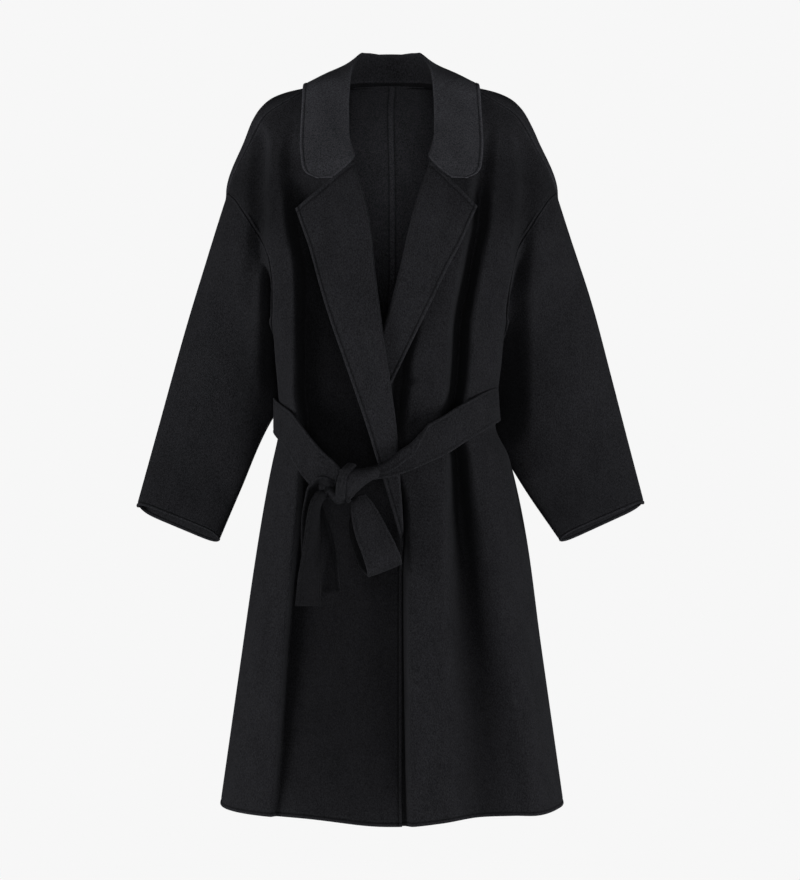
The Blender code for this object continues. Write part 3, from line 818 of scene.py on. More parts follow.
def front_main(side):
    girth = ROWS[:, None]
    edge_x = read(FRONT_EDGES, LAPELS[side].name, ROWS)
    inner = angle_at(edge_x, ROWS)
    outer = side * outer_edge(ROWS, "front")
    share = np.linspace(0.0, 1.0, FINE) ** FRONT_CROWD
    angle = inner[:, None] + (outer - inner)[:, None] * share
    flat = form(angle, girth, 0.0, 0.0)
    steps = np.linalg.norm(np.diff(flat, axis=1), axis=2)
    distance = np.concatenate((np.zeros((len(ROWS), 1)), np.cumsum(steps, axis=1)), axis=1)
    radius = roll_radius(side, girth)
    off = front_lift(side, angle, girth) + radius - lean(distance, radius)
    open_above = 1 - ramp(girth, *OPEN_UNTIL[side])
    folded = 1 - open_above * (1 - ramp(distance / read(FOLD_FADE, "distance", girth), 0.0, 1.0))
    fine = form(angle, girth, off, folded)
    # how deep in a fold each point lies, for the painted shade
    deep = ramp(folded * pleat_depth(angle, girth), 0.0, FOLD_PAINTED_SHADE_DEPTH) * ramp(girth, *FOLD_PAINTED_SHADE_FROM)
    fine = np.concatenate((fine, deep[..., None]), axis=-1)
    return pick_along(fine, EDGE_STEPS, FRONT_COLUMNS, SEAM_STEPS)


print("folds come in", 1000 * FOLD_FADE[0].distance, "mm from the roll line on the chest")

# %% [markdown]
# ## The lapel
# The lapel is a second grid that starts on the roll line and ends on a line from its tip to the
# break. The right one has a slight belly. It lies on the front, so it stays clear of the pleats, and
# a few soft waves keep it from looking like a board: each is a bell curve in height.

# %% Lapel sheet
LAPEL_OPEN_UNTIL = {-1: (0.740, 0.840), 1: (0.556, 0.600)}
LAPEL_COLUMNS = 36
LAPEL_CROWD = 1.6
Wave = namedtuple("Wave", "x z half_width half_length height")
WAVES = (
    Wave(-0.0900, -0.2100, 0.010, 0.045, -0.0035),
    Wave(-0.0660, -0.2250, 0.012, 0.050, 0.0035),
    Wave(0.0900, -0.2350, 0.012, 0.045, 0.0030),
    Wave(0.0680, -0.2450, 0.010, 0.050, -0.0025),
)


def wave_height(x, z):
    total = 0.0
    for wave in WAVES:
        across = (x - wave.x) / wave.half_width
        down = (z - wave.z) / wave.half_length
        total = total + wave.height * np.exp(-(across ** 2) - down ** 2)
    return total


def lapel_sheet(side, roll, rows):
    lapel = LAPELS[side]
    down = ((rows - GORGE) / (lapel.last - GORGE))[:, None]
    end = roll[-1]
    bow = side * lapel.belly * np.sin(math.pi * down)
    tip_x = lapel.tip_x + (end[0] - lapel.tip_x) * down - bow
    tip_z = lapel.tip_z + (end[2] - lapel.tip_z) * down
    across = np.linspace(0.0, 1.0, FINE) ** LAPEL_CROWD
    x = roll[:, :1] + (tip_x - roll[:, :1]) * across
    z = roll[:, 2:] + (tip_z - roll[:, 2:]) * across
    distance = np.hypot(x - roll[:, :1], z - roll[:, 2:])
    girth = girth_at(z)
    angle = angle_at(x, girth)
    radius = roll_radius(side, rows)[:, None]
    off = front_lift(side, angle, girth) + radius + lean(distance, radius) + wave_height(x, z)
    fine = form(angle, girth, off, ramp(girth, *LAPEL_OPEN_UNTIL[side]))
    fine[:, 0] = roll
    return pick_along(fine, EDGE_STEPS, LAPEL_COLUMNS, EDGE_STEPS)


print("the right lapel ends", round(1000 * (RIGHT_BREAK - LEFT_BREAK)), "mm lower than the left one")

# %% [markdown]
# ## Painted light and shade on a front
# A front isn't painted one black. The shoulders are painted paler and the yoke
# below darker, as light from above would fall; a deep fold is painted darker, as shade;
# and the turned-over lapel is painted a little paler, partly its other face and partly painted light.
# These are slow ramps down the rows, multiplied together, and they stay with the cloth from any side.

# %% Painted light and shade of the fronts
SHOULDER_PAINTED_LIGHT = 1.45
SHOULDER_PAINTED_LIGHT_UNTIL = (0.190, 0.300)
YOKE_PAINTED_SHADE = 0.80
YOKE_FROM = (0.205, 0.265)
YOKE_UNTIL = (0.300, 0.380)
FOLD_PAINTED_SHADE = 0.38  # painted shade: how much darker the cloth is painted deep in a fold
# the lapel is painted paler: partly its turned-over face, partly painted light
LAPEL_FACE_AND_PAINTED_LIGHT = 1.14


# paints light on the shoulders, and shade on the yoke and in the folds
def front_painted_shading(deep):
    yoke = 1 - (1 - YOKE_PAINTED_SHADE) * (ramp(ROWS, *YOKE_FROM) - ramp(ROWS, *YOKE_UNTIL))[:, None]
    shoulder = 1 + (SHOULDER_PAINTED_LIGHT - 1) * (1 - ramp(ROWS, *SHOULDER_PAINTED_LIGHT_UNTIL))[:, None]
    return yoke * shoulder * (1 - FOLD_PAINTED_SHADE * deep)


print("deep in a fold the nap goes down to", round(1 - FOLD_PAINTED_SHADE, 2))

# %% [markdown]
# ## The fronts
# Both grids go into one mesh, and merging joins them along the roll line. Edges that are free get
# a lip: the hem, the front edge below the break, and two sides of the lapel. The rest are seams.

# %% Front panels
LAPEL_TOP_SLANT = 0.75  # a step between two rows, measured square to the slanting top of the lapel
LIP_FADE = 0.006  # over which the lip of the front edge begins at the break
LEAST_LIP = 0.01
NO_EDGE = 1.0
SAME_ROW = 1e-9


def front_panel(side):
    lapel = LAPELS[side]
    points, from_inner, from_outer = front_main(side)
    below = ramp(ROWS, lapel.last - LIP_FADE, lapel.last)[:, None]
    from_free = np.where(below > 0, from_inner / np.maximum(below, LEAST_LIP), NO_EDGE)
    shares, nap = edged((SEAM, from_outer), (FREE_EDGE, from_free), (FREE_EDGE, (HEM - ROWS)[:, None]))
    turned_rows = np.flatnonzero((ROWS >= GORGE - SAME_ROW) & (ROWS <= lapel.last + SAME_ROW))
    rows = ROWS[turned_rows]
    lapel_points, _, from_tip = lapel_sheet(side, points[turned_rows, 0, :3], rows)
    from_top = ((rows - GORGE) * LAPEL_TOP_SLANT)[:, None]
    lapel_shares, lapel_edge_shading = edged((FREE_EDGE, from_tip), (FREE_EDGE, from_top))
    mesh = bmesh.new()
    lay_grid(mesh, points[..., :3], shares, nap * front_painted_shading(points[..., 3]))
    lay_grid(mesh, lapel_points, lapel_shares, LAPEL_FACE_AND_PAINTED_LIGHT * lapel_edge_shading)
    return finish_cloth(mesh, "front_with_lapel_" + lapel.name)


front_right = front_panel(-1)
front_left = front_panel(1)

# %% [markdown]
# ## The collar
# The collar is one strip: it is sewn to the neck, stands up behind it, rolls over and falls on
# the shoulders, and its ends lie along the tops of the lapels. Half of it is a table of four
# lines, neck, roll, middle and outer edge, from the centre back to the front end. A lofted
# curve could do this too, but the table lets each corner be set by itself. The row beside the
# centre back is mirrored to the other side, which keeps the back of the neck round.

# %% Lines of the collar
Collar = namedtuple("Collar", "along neck roll middle edge")
COLLAR = (
    Collar(0.00, (0, 0.053, 0.0105), (0, 0.051, 0.054),
           (0, 0.076, 0.028), (0, 0.090, -0.012)),
    Collar(0.30, (0.042, 0.045, 0.0090), (0.042, 0.041, 0.055),
           (0.060, 0.060, 0.031), (0.078, 0.074, -0.003)),
    Collar(0.50, (0.066, 0.020, 0.004), (0.054, 0.022, 0.040),
           (0.087, 0.030, 0.026), (0.121, 0.034, 0.003)),
    Collar(0.65, (0.071, -0.010, 0.004), (0.0605, -0.010, 0.012),
           (0.097, -0.016, 0.009), (0.131, -0.020, -0.003)),
    Collar(0.80, (0.0695, -0.041, -0.029), (0.0635, -0.05, -0.04),
           (0.099, -0.054, -0.039), (0.133, -0.053, -0.05)),
    Collar(0.90, (0.0645, -0.076, -0.076), (0.0625, -0.086, -0.09),
           (0.099, -0.088, -0.091), (0.134, -0.08, -0.096)),
    Collar(0.97, (0.0575, -0.093, -0.109), (0.0565, -0.101, -0.116),
           (0.094, -0.107, -0.13), (0.131, -0.099, -0.132)),
    Collar(0.985, (0.056, -0.0955, -0.113), (0.0553, -0.103, -0.1195),
           (0.0915, -0.1105, -0.143), (0.1255, -0.1035, -0.1435)),
    Collar(1.00, (0.0545, -0.098, -0.117), (0.054, -0.105, -0.123),
           (0.0885, -0.114, -0.1525), (0.109, -0.110, -0.1525)),
)
COLLAR_LINES = ("neck", "roll", "middle", "edge")


def collar_lines(along):
    keys = [-COLLAR[1].along] + [row.along for row in COLLAR]
    lines = np.empty((len(along), len(COLLAR_LINES), 3))
    for number, part in enumerate(COLLAR_LINES):
        for axis in range(3):
            values = [getattr(row, part)[axis] for row in COLLAR]
            other_half = -values[1] if axis == 0 else values[1]
            lines[:, number, axis] = smooth(keys, [other_half] + values, np.abs(along))
    return lines


print("the collar stands", round(1000 * (COLLAR[0].roll[2] - COLLAR[0].neck[2])), "mm high behind the neck")

# %% [markdown]
# ## The collar's sheet
# Rows go from one end of the collar round the neck to the other, and lie closer at the
# ends, which turn a corner. The fall faces up and is painted much paler, as painted light from above,
# the stand less so. It leans a little to one side, because no worn collar sits quite even.

# %% Collar sheet
COLLAR_ROWS = (56, 30)  # along the neck and, closer, round the corner of the end
COLLAR_CORNER = 0.86
COLLAR_COLUMNS = 48
COLLAR_END_LENGTH = 0.78  # the fall's end turns a corner, so its rows lie three times as far apart
COLLAR_LEAN = -0.003
STAND_PAINTED_LIGHT = 1.55
FALL_PAINTED_LIGHT = ((0.00, 3.2), (0.60, 3.6), (0.80, 3.2), (0.92, 2.5), (1.00, 2.0))
FALL_FROM = (0.7, 1.2)


def collar_places():
    ends = EDGE_STEPS / COLLAR_END_LENGTH
    neck = np.linspace(0.0, COLLAR_CORNER, COLLAR_ROWS[0])[:-1]
    corner = np.linspace(COLLAR_CORNER, 1 - ends[-1], COLLAR_ROWS[1])[:-1]
    half = np.concatenate((neck, corner, 1 - ends[::-1]))
    return np.concatenate((-half[:0:-1], half))


def collar_sheet(along):
    across = np.linspace(0.0, 3.0, FINE)
    fine = np.empty((len(along), FINE, 4))
    for row, lines in enumerate(collar_lines(along)):
        for axis in range(3):
            fine[row, :, axis] = smooth((0, 1, 2, 3), lines[:, axis], across)
    fine[..., 0] = fine[..., 0] * np.sign(along)[:, None] + (COLLAR_LEAN * (1 - np.abs(along)))[:, None]
    fall_painted_light = smooth(*zip(*FALL_PAINTED_LIGHT), np.abs(along))[:, None]
    # painted light: the stand is painted paler and the fall paler still
    fine[..., 3] = STAND_PAINTED_LIGHT + (fall_painted_light - STAND_PAINTED_LIGHT) * ramp(across, *FALL_FROM)
    return pick_along(fine, SEAM_STEPS, COLLAR_COLUMNS, EDGE_STEPS)


print("the collar has", len(collar_places()), "rows")

# %% [markdown]
# ## The finished collar
# At its ends the collar is sewn to the lapel along the gorge, and free outside the
# notch, so the end gets a seam first and a lip after it. Two sheets that only meet at an
# edge leave a gap that shows from a low angle. A tailor closes it with a seam allowance,
# and so does the extra column that goes down behind the neck edge of the back.

# %% Collar
COLLAR_NOTCH = 0.024
Allowance = namedtuple("Allowance", "width inside")
STAND_ALLOWANCE = Allowance(0.0075, 0.0035)
STAND_ALLOWANCE_UNTIL = (0.45, 0.62)
LEAST_ALLOWANCE = 0.15


def stand_allowance(neck_line, along):
    reach = np.maximum(1 - ramp(np.abs(along), *STAND_ALLOWANCE_UNTIL), LEAST_ALLOWANCE)[:, None]
    outwards = neck_line * (1.0, 1.0, 0.0) / np.hypot(neck_line[:, :1], neck_line[:, 1:2])
    return neck_line + reach * (STAND_ALLOWANCE.inside * outwards - (0.0, 0.0, STAND_ALLOWANCE.width))


def collar_piece():
    along = collar_places()
    points, from_neck, from_edge = collar_sheet(along)
    gaps = np.linalg.norm(np.diff(points[..., :3], axis=0), axis=2)
    run = np.concatenate((np.zeros((1, points.shape[1])), np.cumsum(gaps, axis=0)))
    from_end = np.minimum(run, run[-1] - run)
    free = np.where(from_edge < COLLAR_NOTCH, from_end, NO_EDGE)
    sewn = np.where(from_edge < COLLAR_NOTCH, NO_EDGE, from_end)
    shares, nap = edged((FREE_EDGE, from_edge), (SEAM, from_neck), (FREE_EDGE, free), (SEAM, sewn))
    nap = nap * points[..., 3]
    behind = stand_allowance(points[:, 0, :3], along)
    points = np.concatenate((behind[:, None], points[..., :3]), axis=1)
    shares = np.concatenate((shares[:, :1], shares), axis=1)
    nap = np.concatenate((nap[:, :1], nap), axis=1)
    mesh = bmesh.new()
    lay_grid(mesh, points, shares, nap)
    return finish_cloth(mesh, "collar_strip")


collar = collar_piece()

# %% [markdown]
# ## Rings of the sleeves
# A sleeve is a tube that hangs empty, so it is wide from the front, shallow from the side and
# nearly flat along its inner fold. A row gives a ring: its outer and inner edge, its depth
# from front to back, how far it swings back at the outer edge, and how square it is. A bent
# cylinder with a lattice could come close, but its edges would not follow the real outline.

# %% Rings of the sleeves
SLEEVE_COLUMNS = "along outer_x outer_z inner_x inner_z half_depth y front_lift swing roundness"
Sleeve = namedtuple("Sleeve", SLEEVE_COLUMNS)
RIGHT_SLEEVE = (
    Sleeve(0.00, 0.2490, -0.1650, 0.1400, -0.372, 0.080, 0.000, 0.000, 0.000, 2.0),
    Sleeve(0.22, 0.2810, -0.2690, 0.1300, -0.446, 0.064, 0.028, 0.000, -0.010, 2.0),
    Sleeve(0.36, 0.3020, -0.3340, 0.1780, -0.494, 0.058, 0.036, 0.000, 0.000, 2.8),
    Sleeve(0.70, 0.3475, -0.4940, 0.2240, -0.600, 0.044, 0.030, 0.000, 0.020, 5.0),
    Sleeve(1.00, 0.3835, -0.6345, 0.2575, -0.680, 0.036, 0.008, 0.009, 0.022, 6.4),
)
LEFT_SLEEVE = (
    Sleeve(0.00, 0.2490, -0.1650, 0.1400, -0.372, 0.080, 0.000, 0.000, 0.000, 2.0),
    Sleeve(0.22, 0.2835, -0.2690, 0.1220, -0.446, 0.062, 0.042, 0.000, -0.012, 2.0),
    Sleeve(0.36, 0.3050, -0.3340, 0.1400, -0.500, 0.058, 0.048, 0.000, -0.004, 2.1),
    Sleeve(0.54, 0.3290, -0.4180, 0.1720, -0.560, 0.050, 0.048, 0.000, 0.020, 3.2),
    Sleeve(0.70, 0.3495, -0.4930, 0.1990, -0.606, 0.044, 0.044, 0.000, 0.044, 5.2),
    Sleeve(1.00, 0.3835, -0.6310, 0.2490, -0.680, 0.036, 0.018, 0.007, 0.054, 6.4),
)
INNER_THIN = 0.40
THIN_FROM = (0.25, 0.65)


def sleeve_rings(side, along, turn):
    lines = LEFT_SLEEVE if side > 0 else RIGHT_SLEEVE

    def line(column):
        return read(lines, column, along)[:, None]

    flatter = 2 / line("roundness")
    reach = (1 + signed_power(np.cos(turn), flatter)) / 2
    thin = 1 - (1 - INNER_THIN) * ramp(along, *THIN_FROM)[:, None]
    deep = (1 - signed_power(np.sin(turn), flatter)) * (thin + (1 - thin) * reach) - 1
    x = side * (line("inner_x") + (line("outer_x") - line("inner_x")) * reach)
    y = line("y") + line("swing") * (2 * reach - 1) + line("half_depth") * deep
    z = line("inner_z") + (line("outer_z") - line("inner_z")) * reach + line("front_lift") * np.sin(turn)
    return np.stack((x, y, z), axis=-1)


print("the right cuff is", round(1000 * (RIGHT_SLEEVE[-1].outer_x - RIGHT_SLEEVE[-1].inner_x)), "mm across")

# %% [markdown]
# ## Out of the armhole
# The first ring of a sleeve is the outline of the armhole, a small gap away from the body,
# and the first third of the tube goes over from that outline to the rings of the table.
# The gap is wider at the underarm, where the two walls meet at an angle and would touch.

# %% From the armhole to the rings
SLEEVE_FROM_ARMHOLE = 0.30
SHOULDER_GAP = 0.0009
ARMHOLE_GAP = 0.0034
UNDERARM_FROM = (0.3, 1.0)
UNDERARM_SPREAD = 0.3


def armhole_outline(side, turn_share, off=0.0):
    """Points round the armhole: down its front edge, then up its back edge."""
    rows = np.arange(len(ARMHOLE))
    last = rows[-1]
    at = turn_share * 2 * last
    front = at <= last
    at = np.where(front, at, 2 * last - at)
    girth = smooth(rows, [row.girth for row in ARMHOLE], at)
    front_angle = smooth(rows, [row.front for row in ARMHOLE], at)
    back_angle = smooth(rows, [row.back for row in ARMHOLE], at)
    return form(side * np.where(front, front_angle, back_angle), girth, off)


def out_of_armhole(side, along, turn, outline, inwards):
    lines = LEFT_SLEEVE if side > 0 else RIGHT_SLEEVE
    top, end = lines[0], lines[-1]
    drop_x = side * (end.outer_x + end.inner_x - top.outer_x - top.inner_x) / 2
    drop_z = (end.outer_z + end.inner_z - top.outer_z - top.inner_z) / 2
    drop = np.array((drop_x, 0.0, drop_z))
    under = ramp(-np.cos(turn), *UNDERARM_FROM)[:, None]
    gap = SHOULDER_GAP + (ARMHOLE_GAP - SHOULDER_GAP) * (1 - np.cos(turn)) / 2
    away = (inwards * (1 - under) + np.array((side, 0.0, 0.0)) * under) * gap[:, None]
    spread_x = (1 + UNDERARM_SPREAD) * (1 + np.cos(turn)) / 2 - UNDERARM_SPREAD
    spread = np.stack((spread_x, np.ones(turn.shape), np.ones(turn.shape)), axis=-1)
    return (outline + away)[None] + drop * spread * along[:, None, None]


print("a sleeve leaves the armhole over", SLEEVE_FROM_ARMHOLE, "of its length")

# %% [markdown]
# ## The tuck behind the body
# Where a sleeve hangs beside the body, its inner part sinks back and the edge of the front casts
# a shadow on it. The tuck presses that part straight back, more the nearer it is to the body.

# %% Tuck
Tuck = namedtuple("Tuck", "deep_x flat_x until")
TUCKS = {-1: Tuck(0.170, 0.200, (0.410, 0.490)), 1: Tuck(0.162, 0.210, (0.460, 0.560))}
TUCK_DEPTH = 0.056
TUCK_FROM = (0.215, 0.300)  # heights below the neck between which it begins
TUCK_FRONT = (0.0, 0.6)
TUCK_SEAM = (0.0, 0.06)


def tuck_in(side, points, along, turn):
    tuck = 1 - ramp(side * points[..., 0], TUCKS[side].deep_x, TUCKS[side].flat_x)
    tuck *= ramp(-points[..., 2], *TUCK_FROM) * (1 - ramp(-points[..., 2], *TUCKS[side].until))
    return TUCK_DEPTH * tuck * ramp(np.sin(turn), *TUCK_FRONT) * ramp(along, *TUCK_SEAM)[:, None]


print("a sleeve sinks back by up to", 1000 * TUCK_DEPTH, "mm")

# %% [markdown]
# ## The sleeves
# The rings become one grid whose last column meets its first, and merging
# closes the tube. Two more rings in front of the first one are turned in under
# the edge of the body, as a seam allowance is, so no light comes through.

# %% Sleeves
SLEEVE_RINGS = 96
SLEEVE_POINTS = 120
SLEEVE_LENGTH = 0.48
ALLOWANCE = (Allowance(0.0050, 0.0048), Allowance(0.0012, 0.0026))
ALLOWANCE_SHARE = 0.40


def sleeve_piece(side):
    steps = EDGE_STEPS / SLEEVE_LENGTH
    between = np.linspace(steps[-1], 1 - steps[-1], SLEEVE_RINGS)[1:-1]
    along = np.concatenate((steps, between, 1 - steps[::-1]))
    turn_share = np.linspace(0.0, 1.0, SLEEVE_POINTS + 1)
    turn = math.tau * turn_share
    outline = armhole_outline(side, turn_share)
    inwards = outline[:-1].mean(axis=0) - outline
    inwards /= np.linalg.norm(inwards, axis=1)[:, None]
    start = out_of_armhole(side, along, turn, outline, inwards)
    rings = sleeve_rings(side, along, turn)
    points = start + (rings - start) * ramp(along, 0.0, SLEEVE_FROM_ARMHOLE)[:, None, None]
    points[..., 1] += tuck_in(side, points, along, turn)
    shares, nap = edged((FREE_EDGE, (1 - along) * SLEEVE_LENGTH), (SEAM, along * SLEEVE_LENGTH))
    turned_in = [armhole_outline(side, turn_share, -row.inside) - inwards * row.width for row in ALLOWANCE]
    points = np.concatenate((turned_in, points))
    shares = np.concatenate((np.full(len(ALLOWANCE), ALLOWANCE_SHARE), shares))
    nap = np.concatenate((np.full(len(ALLOWANCE), nap[0]), nap))
    mesh = bmesh.new()
    lay_grid(mesh, points, np.repeat(shares[:, None], SLEEVE_POINTS + 1, axis=1), nap[:, None])
    return finish_cloth(mesh, "sleeve_tube_left" if side > 0 else "sleeve_tube_right")


sleeve_right = sleeve_piece(-1)
sleeve_left = sleeve_piece(1)

# %% [markdown]
# ## The belt round the waist
# One long doubled strip. It leaves the knot, goes round the waist by the wearer's right side and the back,
# and comes back to the knot from the left. It follows the form without its folds, because a tight belt
# bridges them. A row gives the height, how far it stands off, and, where they differ from the rest, its
# half-width, the width of the flap that folds over at its top before the knot, and how far it leans in.

# %% Course of the belt
BELT_CLOTH = 0.0036
BELT_HALF = 0.026
Belt = namedtuple("Belt", "angle height off half_width flap lean", defaults=(BELT_HALF, 0.0, 0.0))
BELT = (
    Belt(-20.0, -0.5950, 0.0190, 0.022),
    Belt(-26.0, -0.5810, 0.0170),
    Belt(-60.0, -0.5120, 0.0065),
    Belt(-90.0, -0.4950, 0.0050),
    Belt(-135.0, -0.4920, 0.0050),
    Belt(-180.0, -0.4880, 0.0050),
    Belt(-225.0, -0.4840, 0.0050),
    Belt(-270.0, -0.4770, -0.0040, BELT_HALF, 0.000, 0.14),
    Belt(-295.0, -0.4820, 0.0056),
    Belt(-318.0, -0.5020, 0.0080),
    Belt(-338.0, -0.5270, 0.0165),
    Belt(-348.0, -0.5396, 0.0210, BELT_HALF, 0.012),
    Belt(-356.0, -0.5520, 0.0250, BELT_HALF, 0.022),
    Belt(-361.5, -0.5680, 0.0275, 0.0190, 0.020),
    Belt(-367.0, -0.5770, 0.0285, 0.0140, 0.013),
)


def belt_column(name, angle):
    return smooth([-row.angle for row in BELT], [getattr(row, name) for row in BELT], -angle)


def belt_middle(angle):
    return form(angle, girth_at(belt_column("height", angle)), belt_column("off", angle), 0.0)


print("the belt is", 2000 * BELT_HALF, "mm wide and turns", BELT[0].angle - BELT[-1].angle, "degrees")

# %% [markdown]
# ## The flap of the belt
# Across the strip, `run_up` is the way over the cloth from the lower edge.
# Past the fold the cloth turns over a small round and comes down again in
# front of itself. An extruded band would need the fold cut in afterwards.

# %% Belt round the waist
FLAP_ROUND = 0.0030
BELT_STEPS = 300
HALF_STEP = 0.5  # degrees to each side, to find which way the belt runs
BELT_COLUMNS = 14


def belt_round():
    angle = np.linspace(BELT[0].angle, BELT[-1].angle, BELT_STEPS)
    run = belt_middle(angle - HALF_STEP) - belt_middle(angle + HALF_STEP)
    run /= np.linalg.norm(run, axis=1)[:, None]
    up = np.array((0.0, 0.0, 1.0)) - run * run[:, 2:]
    up /= np.linalg.norm(up, axis=1)[:, None]
    out = np.cross(up, run)
    width = belt_column("half_width", angle)[:, None]
    run_up = np.linspace(0.0, 2.0, FINE) * width
    past = np.maximum(run_up - 2 * width + belt_column("flap", angle)[:, None], 0.0)
    bend = np.minimum(past / FLAP_ROUND, math.pi)
    coming_down = np.maximum(past - math.pi * FLAP_ROUND, 0.0)
    high = run_up - past + FLAP_ROUND * np.sin(bend) - coming_down - width
    proud = FLAP_ROUND * (1 - np.cos(bend)) - belt_column("lean", angle)[:, None] * high
    fine = belt_middle(angle)[:, None] + up[:, None] * high[..., None] + out[:, None] * proud[..., None]
    points, from_bottom, from_top = pick_along(fine, EDGE_STEPS, BELT_COLUMNS, EDGE_STEPS)
    shares, nap = edged((BELT_EDGE, from_bottom), (BELT_EDGE, from_top))
    mesh = bmesh.new()
    lay_grid(mesh, points, shares, nap)
    return finish_cloth(mesh, "belt_waist", BELT_CLOTH)


belt_waist = belt_round()

# %% [markdown]
# ## Strips of the belt
# The loop, the tails and the turns of the knot are lengths of the same strip. A row
# gives a point of the middle line, the half-width, which way the width faces, as a
# turn about the vertical and a tilt, and how much the strip curls across. A curve
# with a bevel profile would twist where it likes, and here every twist is seen.

# %% A strip of belt
Strip = namedtuple("Strip", "x y z half_width turn tilt curl")
STRIP_STEPS = 70


def lay_strip(mesh, lines, painted_shading):
    keys = np.arange(len(lines))
    at = np.linspace(0.0, keys[-1], STRIP_STEPS)
    line = Strip(*[smooth(keys, values, at) for values in zip(*lines)])
    turn = np.radians(line.turn)
    tilt = np.radians(line.tilt)
    across = np.stack((np.cos(turn) * np.cos(tilt), np.sin(turn) * np.cos(tilt), np.sin(tilt)), axis=-1)
    middle = np.stack((line.x, line.y, line.z), axis=-1)
    out = np.cross(np.gradient(middle, axis=0), across)
    out /= np.linalg.norm(out, axis=1)[:, None]
    bend = np.radians(line.curl)[:, None] * np.linspace(-1.0, 1.0, FINE)
    radius = (line.half_width / np.radians(line.curl))[:, None]
    fine = middle[:, None] + across[:, None] * (radius * np.sin(bend))[..., None]
    fine += out[:, None] * (radius * (np.cos(bend) - 1))[..., None]
    points, from_left, from_right = pick_along(fine, EDGE_STEPS, BELT_COLUMNS, EDGE_STEPS)
    shares, nap = edged((BELT_EDGE, from_left), (BELT_EDGE, from_right))
    # painted shade along the strip, darker on the loop's back and on the tails
    tone = np.interp(at, keys, np.broadcast_to(painted_shading, len(lines)))
    lay_grid(mesh, points, shares, tone[:, None] * nap)


def belt_strip(name, painted_shading, *tables):
    mesh = bmesh.new()
    for lines in tables:
        lay_strip(mesh, lines, painted_shading)
    return finish_cloth(mesh, name, BELT_CLOTH)


print("a strip has", STRIP_STEPS, "steps along its middle line")

# %% [markdown]
# ## Half bow and tails
# The belt is tied with one loop and two tails. The loop comes forward out of the knot, turns at the
# bottom and goes back up behind itself, where it is painted darker, as shade. One tail hangs nearly edge-on
# in front, the other behind it. Both tails are painted darker as well, as shade.

# %% Loop and tails
LOOP = (
    Strip(-0.0470, -0.1760, -0.6120, 0.011, 5, 20, 50),
    Strip(-0.0420, -0.1840, -0.6260, 0.017, 8, 20, 35),
    Strip(-0.0300, -0.1890, -0.6590, 0.023, 10, 22, 18),
    Strip(-0.0170, -0.1920, -0.6890, 0.025, 10, 22, 10),
    Strip(-0.0105, -0.1900, -0.7080, BELT_HALF, 8, 22, 6),
    Strip(-0.0090, -0.1800, -0.7170, BELT_HALF, 6, 21, 4),
    Strip(-0.0190, -0.1700, -0.7080, BELT_HALF, 4, 20, 4),
    Strip(-0.0300, -0.1630, -0.6830, 0.025, 2, 20, 8),
    Strip(-0.0420, -0.1620, -0.6510, 0.020, 0, 18, 16),
    Strip(-0.0450, -0.1630, -0.6280, 0.013, 0, 14, 30),
)
TAIL_FRONT = (
    Strip(-0.0850, -0.1740, -0.6060, 0.010, 20, -30, 60),
    Strip(-0.0960, -0.1830, -0.6110, 0.012, 45, -20, 50),
    Strip(-0.1050, -0.1860, -0.6250, 0.014, 60, -10, 35),
    Strip(-0.1087, -0.1870, -0.6516, 0.019, 63, -6, 20),
    Strip(-0.1115, -0.1850, -0.6913, 0.024, 61, -4, 10),
    Strip(-0.1150, -0.1825, -0.7300, BELT_HALF, 55, -4, 8),
    Strip(-0.1179, -0.1800, -0.7680, BELT_HALF, 51, -3, 5),
)
TAIL_BACK = (
    Strip(-0.0820, -0.1700, -0.5980, 0.009, 96, -50, 40),
    Strip(-0.0920, -0.1760, -0.5930, 0.010, 94, -46, 30),
    Strip(-0.1020, -0.1760, -0.5910, 0.011, 84, -30, 20),
    Strip(-0.1090, -0.1710, -0.5950, 0.012, 62, 6, 14),
    Strip(-0.1125, -0.1650, -0.6080, 0.013, 48, 10, 10),
    Strip(-0.1120, -0.1590, -0.6320, 0.017, 34, 4, 8),
    Strip(-0.1080, -0.1550, -0.6650, 0.022, 14, 6, 6),
    Strip(-0.1030, -0.1540, -0.7050, 0.025, -4, 6, 6),
    Strip(-0.0985, -0.1560, -0.7530, BELT_HALF, -8, 8, 6),
)
LOOP_PAINTED_SHADE = (1.0, 1.0, 1.0, 1.0, 1.0, 0.8, 0.45, 0.4, 0.4, 0.4)  # painted shade: a value for each row of the table, darker where the loop goes back behind itself
TAIL_PAINTED_SHADE = 0.56
TAIL_BACK_PAINTED_SHADE = (1.0, 1.0, 1.0, 0.9, 0.7, 0.56, 0.56, 0.56, 0.56)
bow_loop = belt_strip("bow_loop", LOOP_PAINTED_SHADE, LOOP)
tail_front = belt_strip("tail_in_front", TAIL_PAINTED_SHADE, TAIL_FRONT)
tail_back = belt_strip("tail_behind", TAIL_BACK_PAINTED_SHADE, TAIL_BACK)

# %% [markdown]
# ## The knot
# A knot in thick wool is a soft lump: the strip rolls over the front, another
# turn comes round below it, and a narrow pinch holds both. Three strips make
# what shows. A simulated knot would not come out as this one lies.

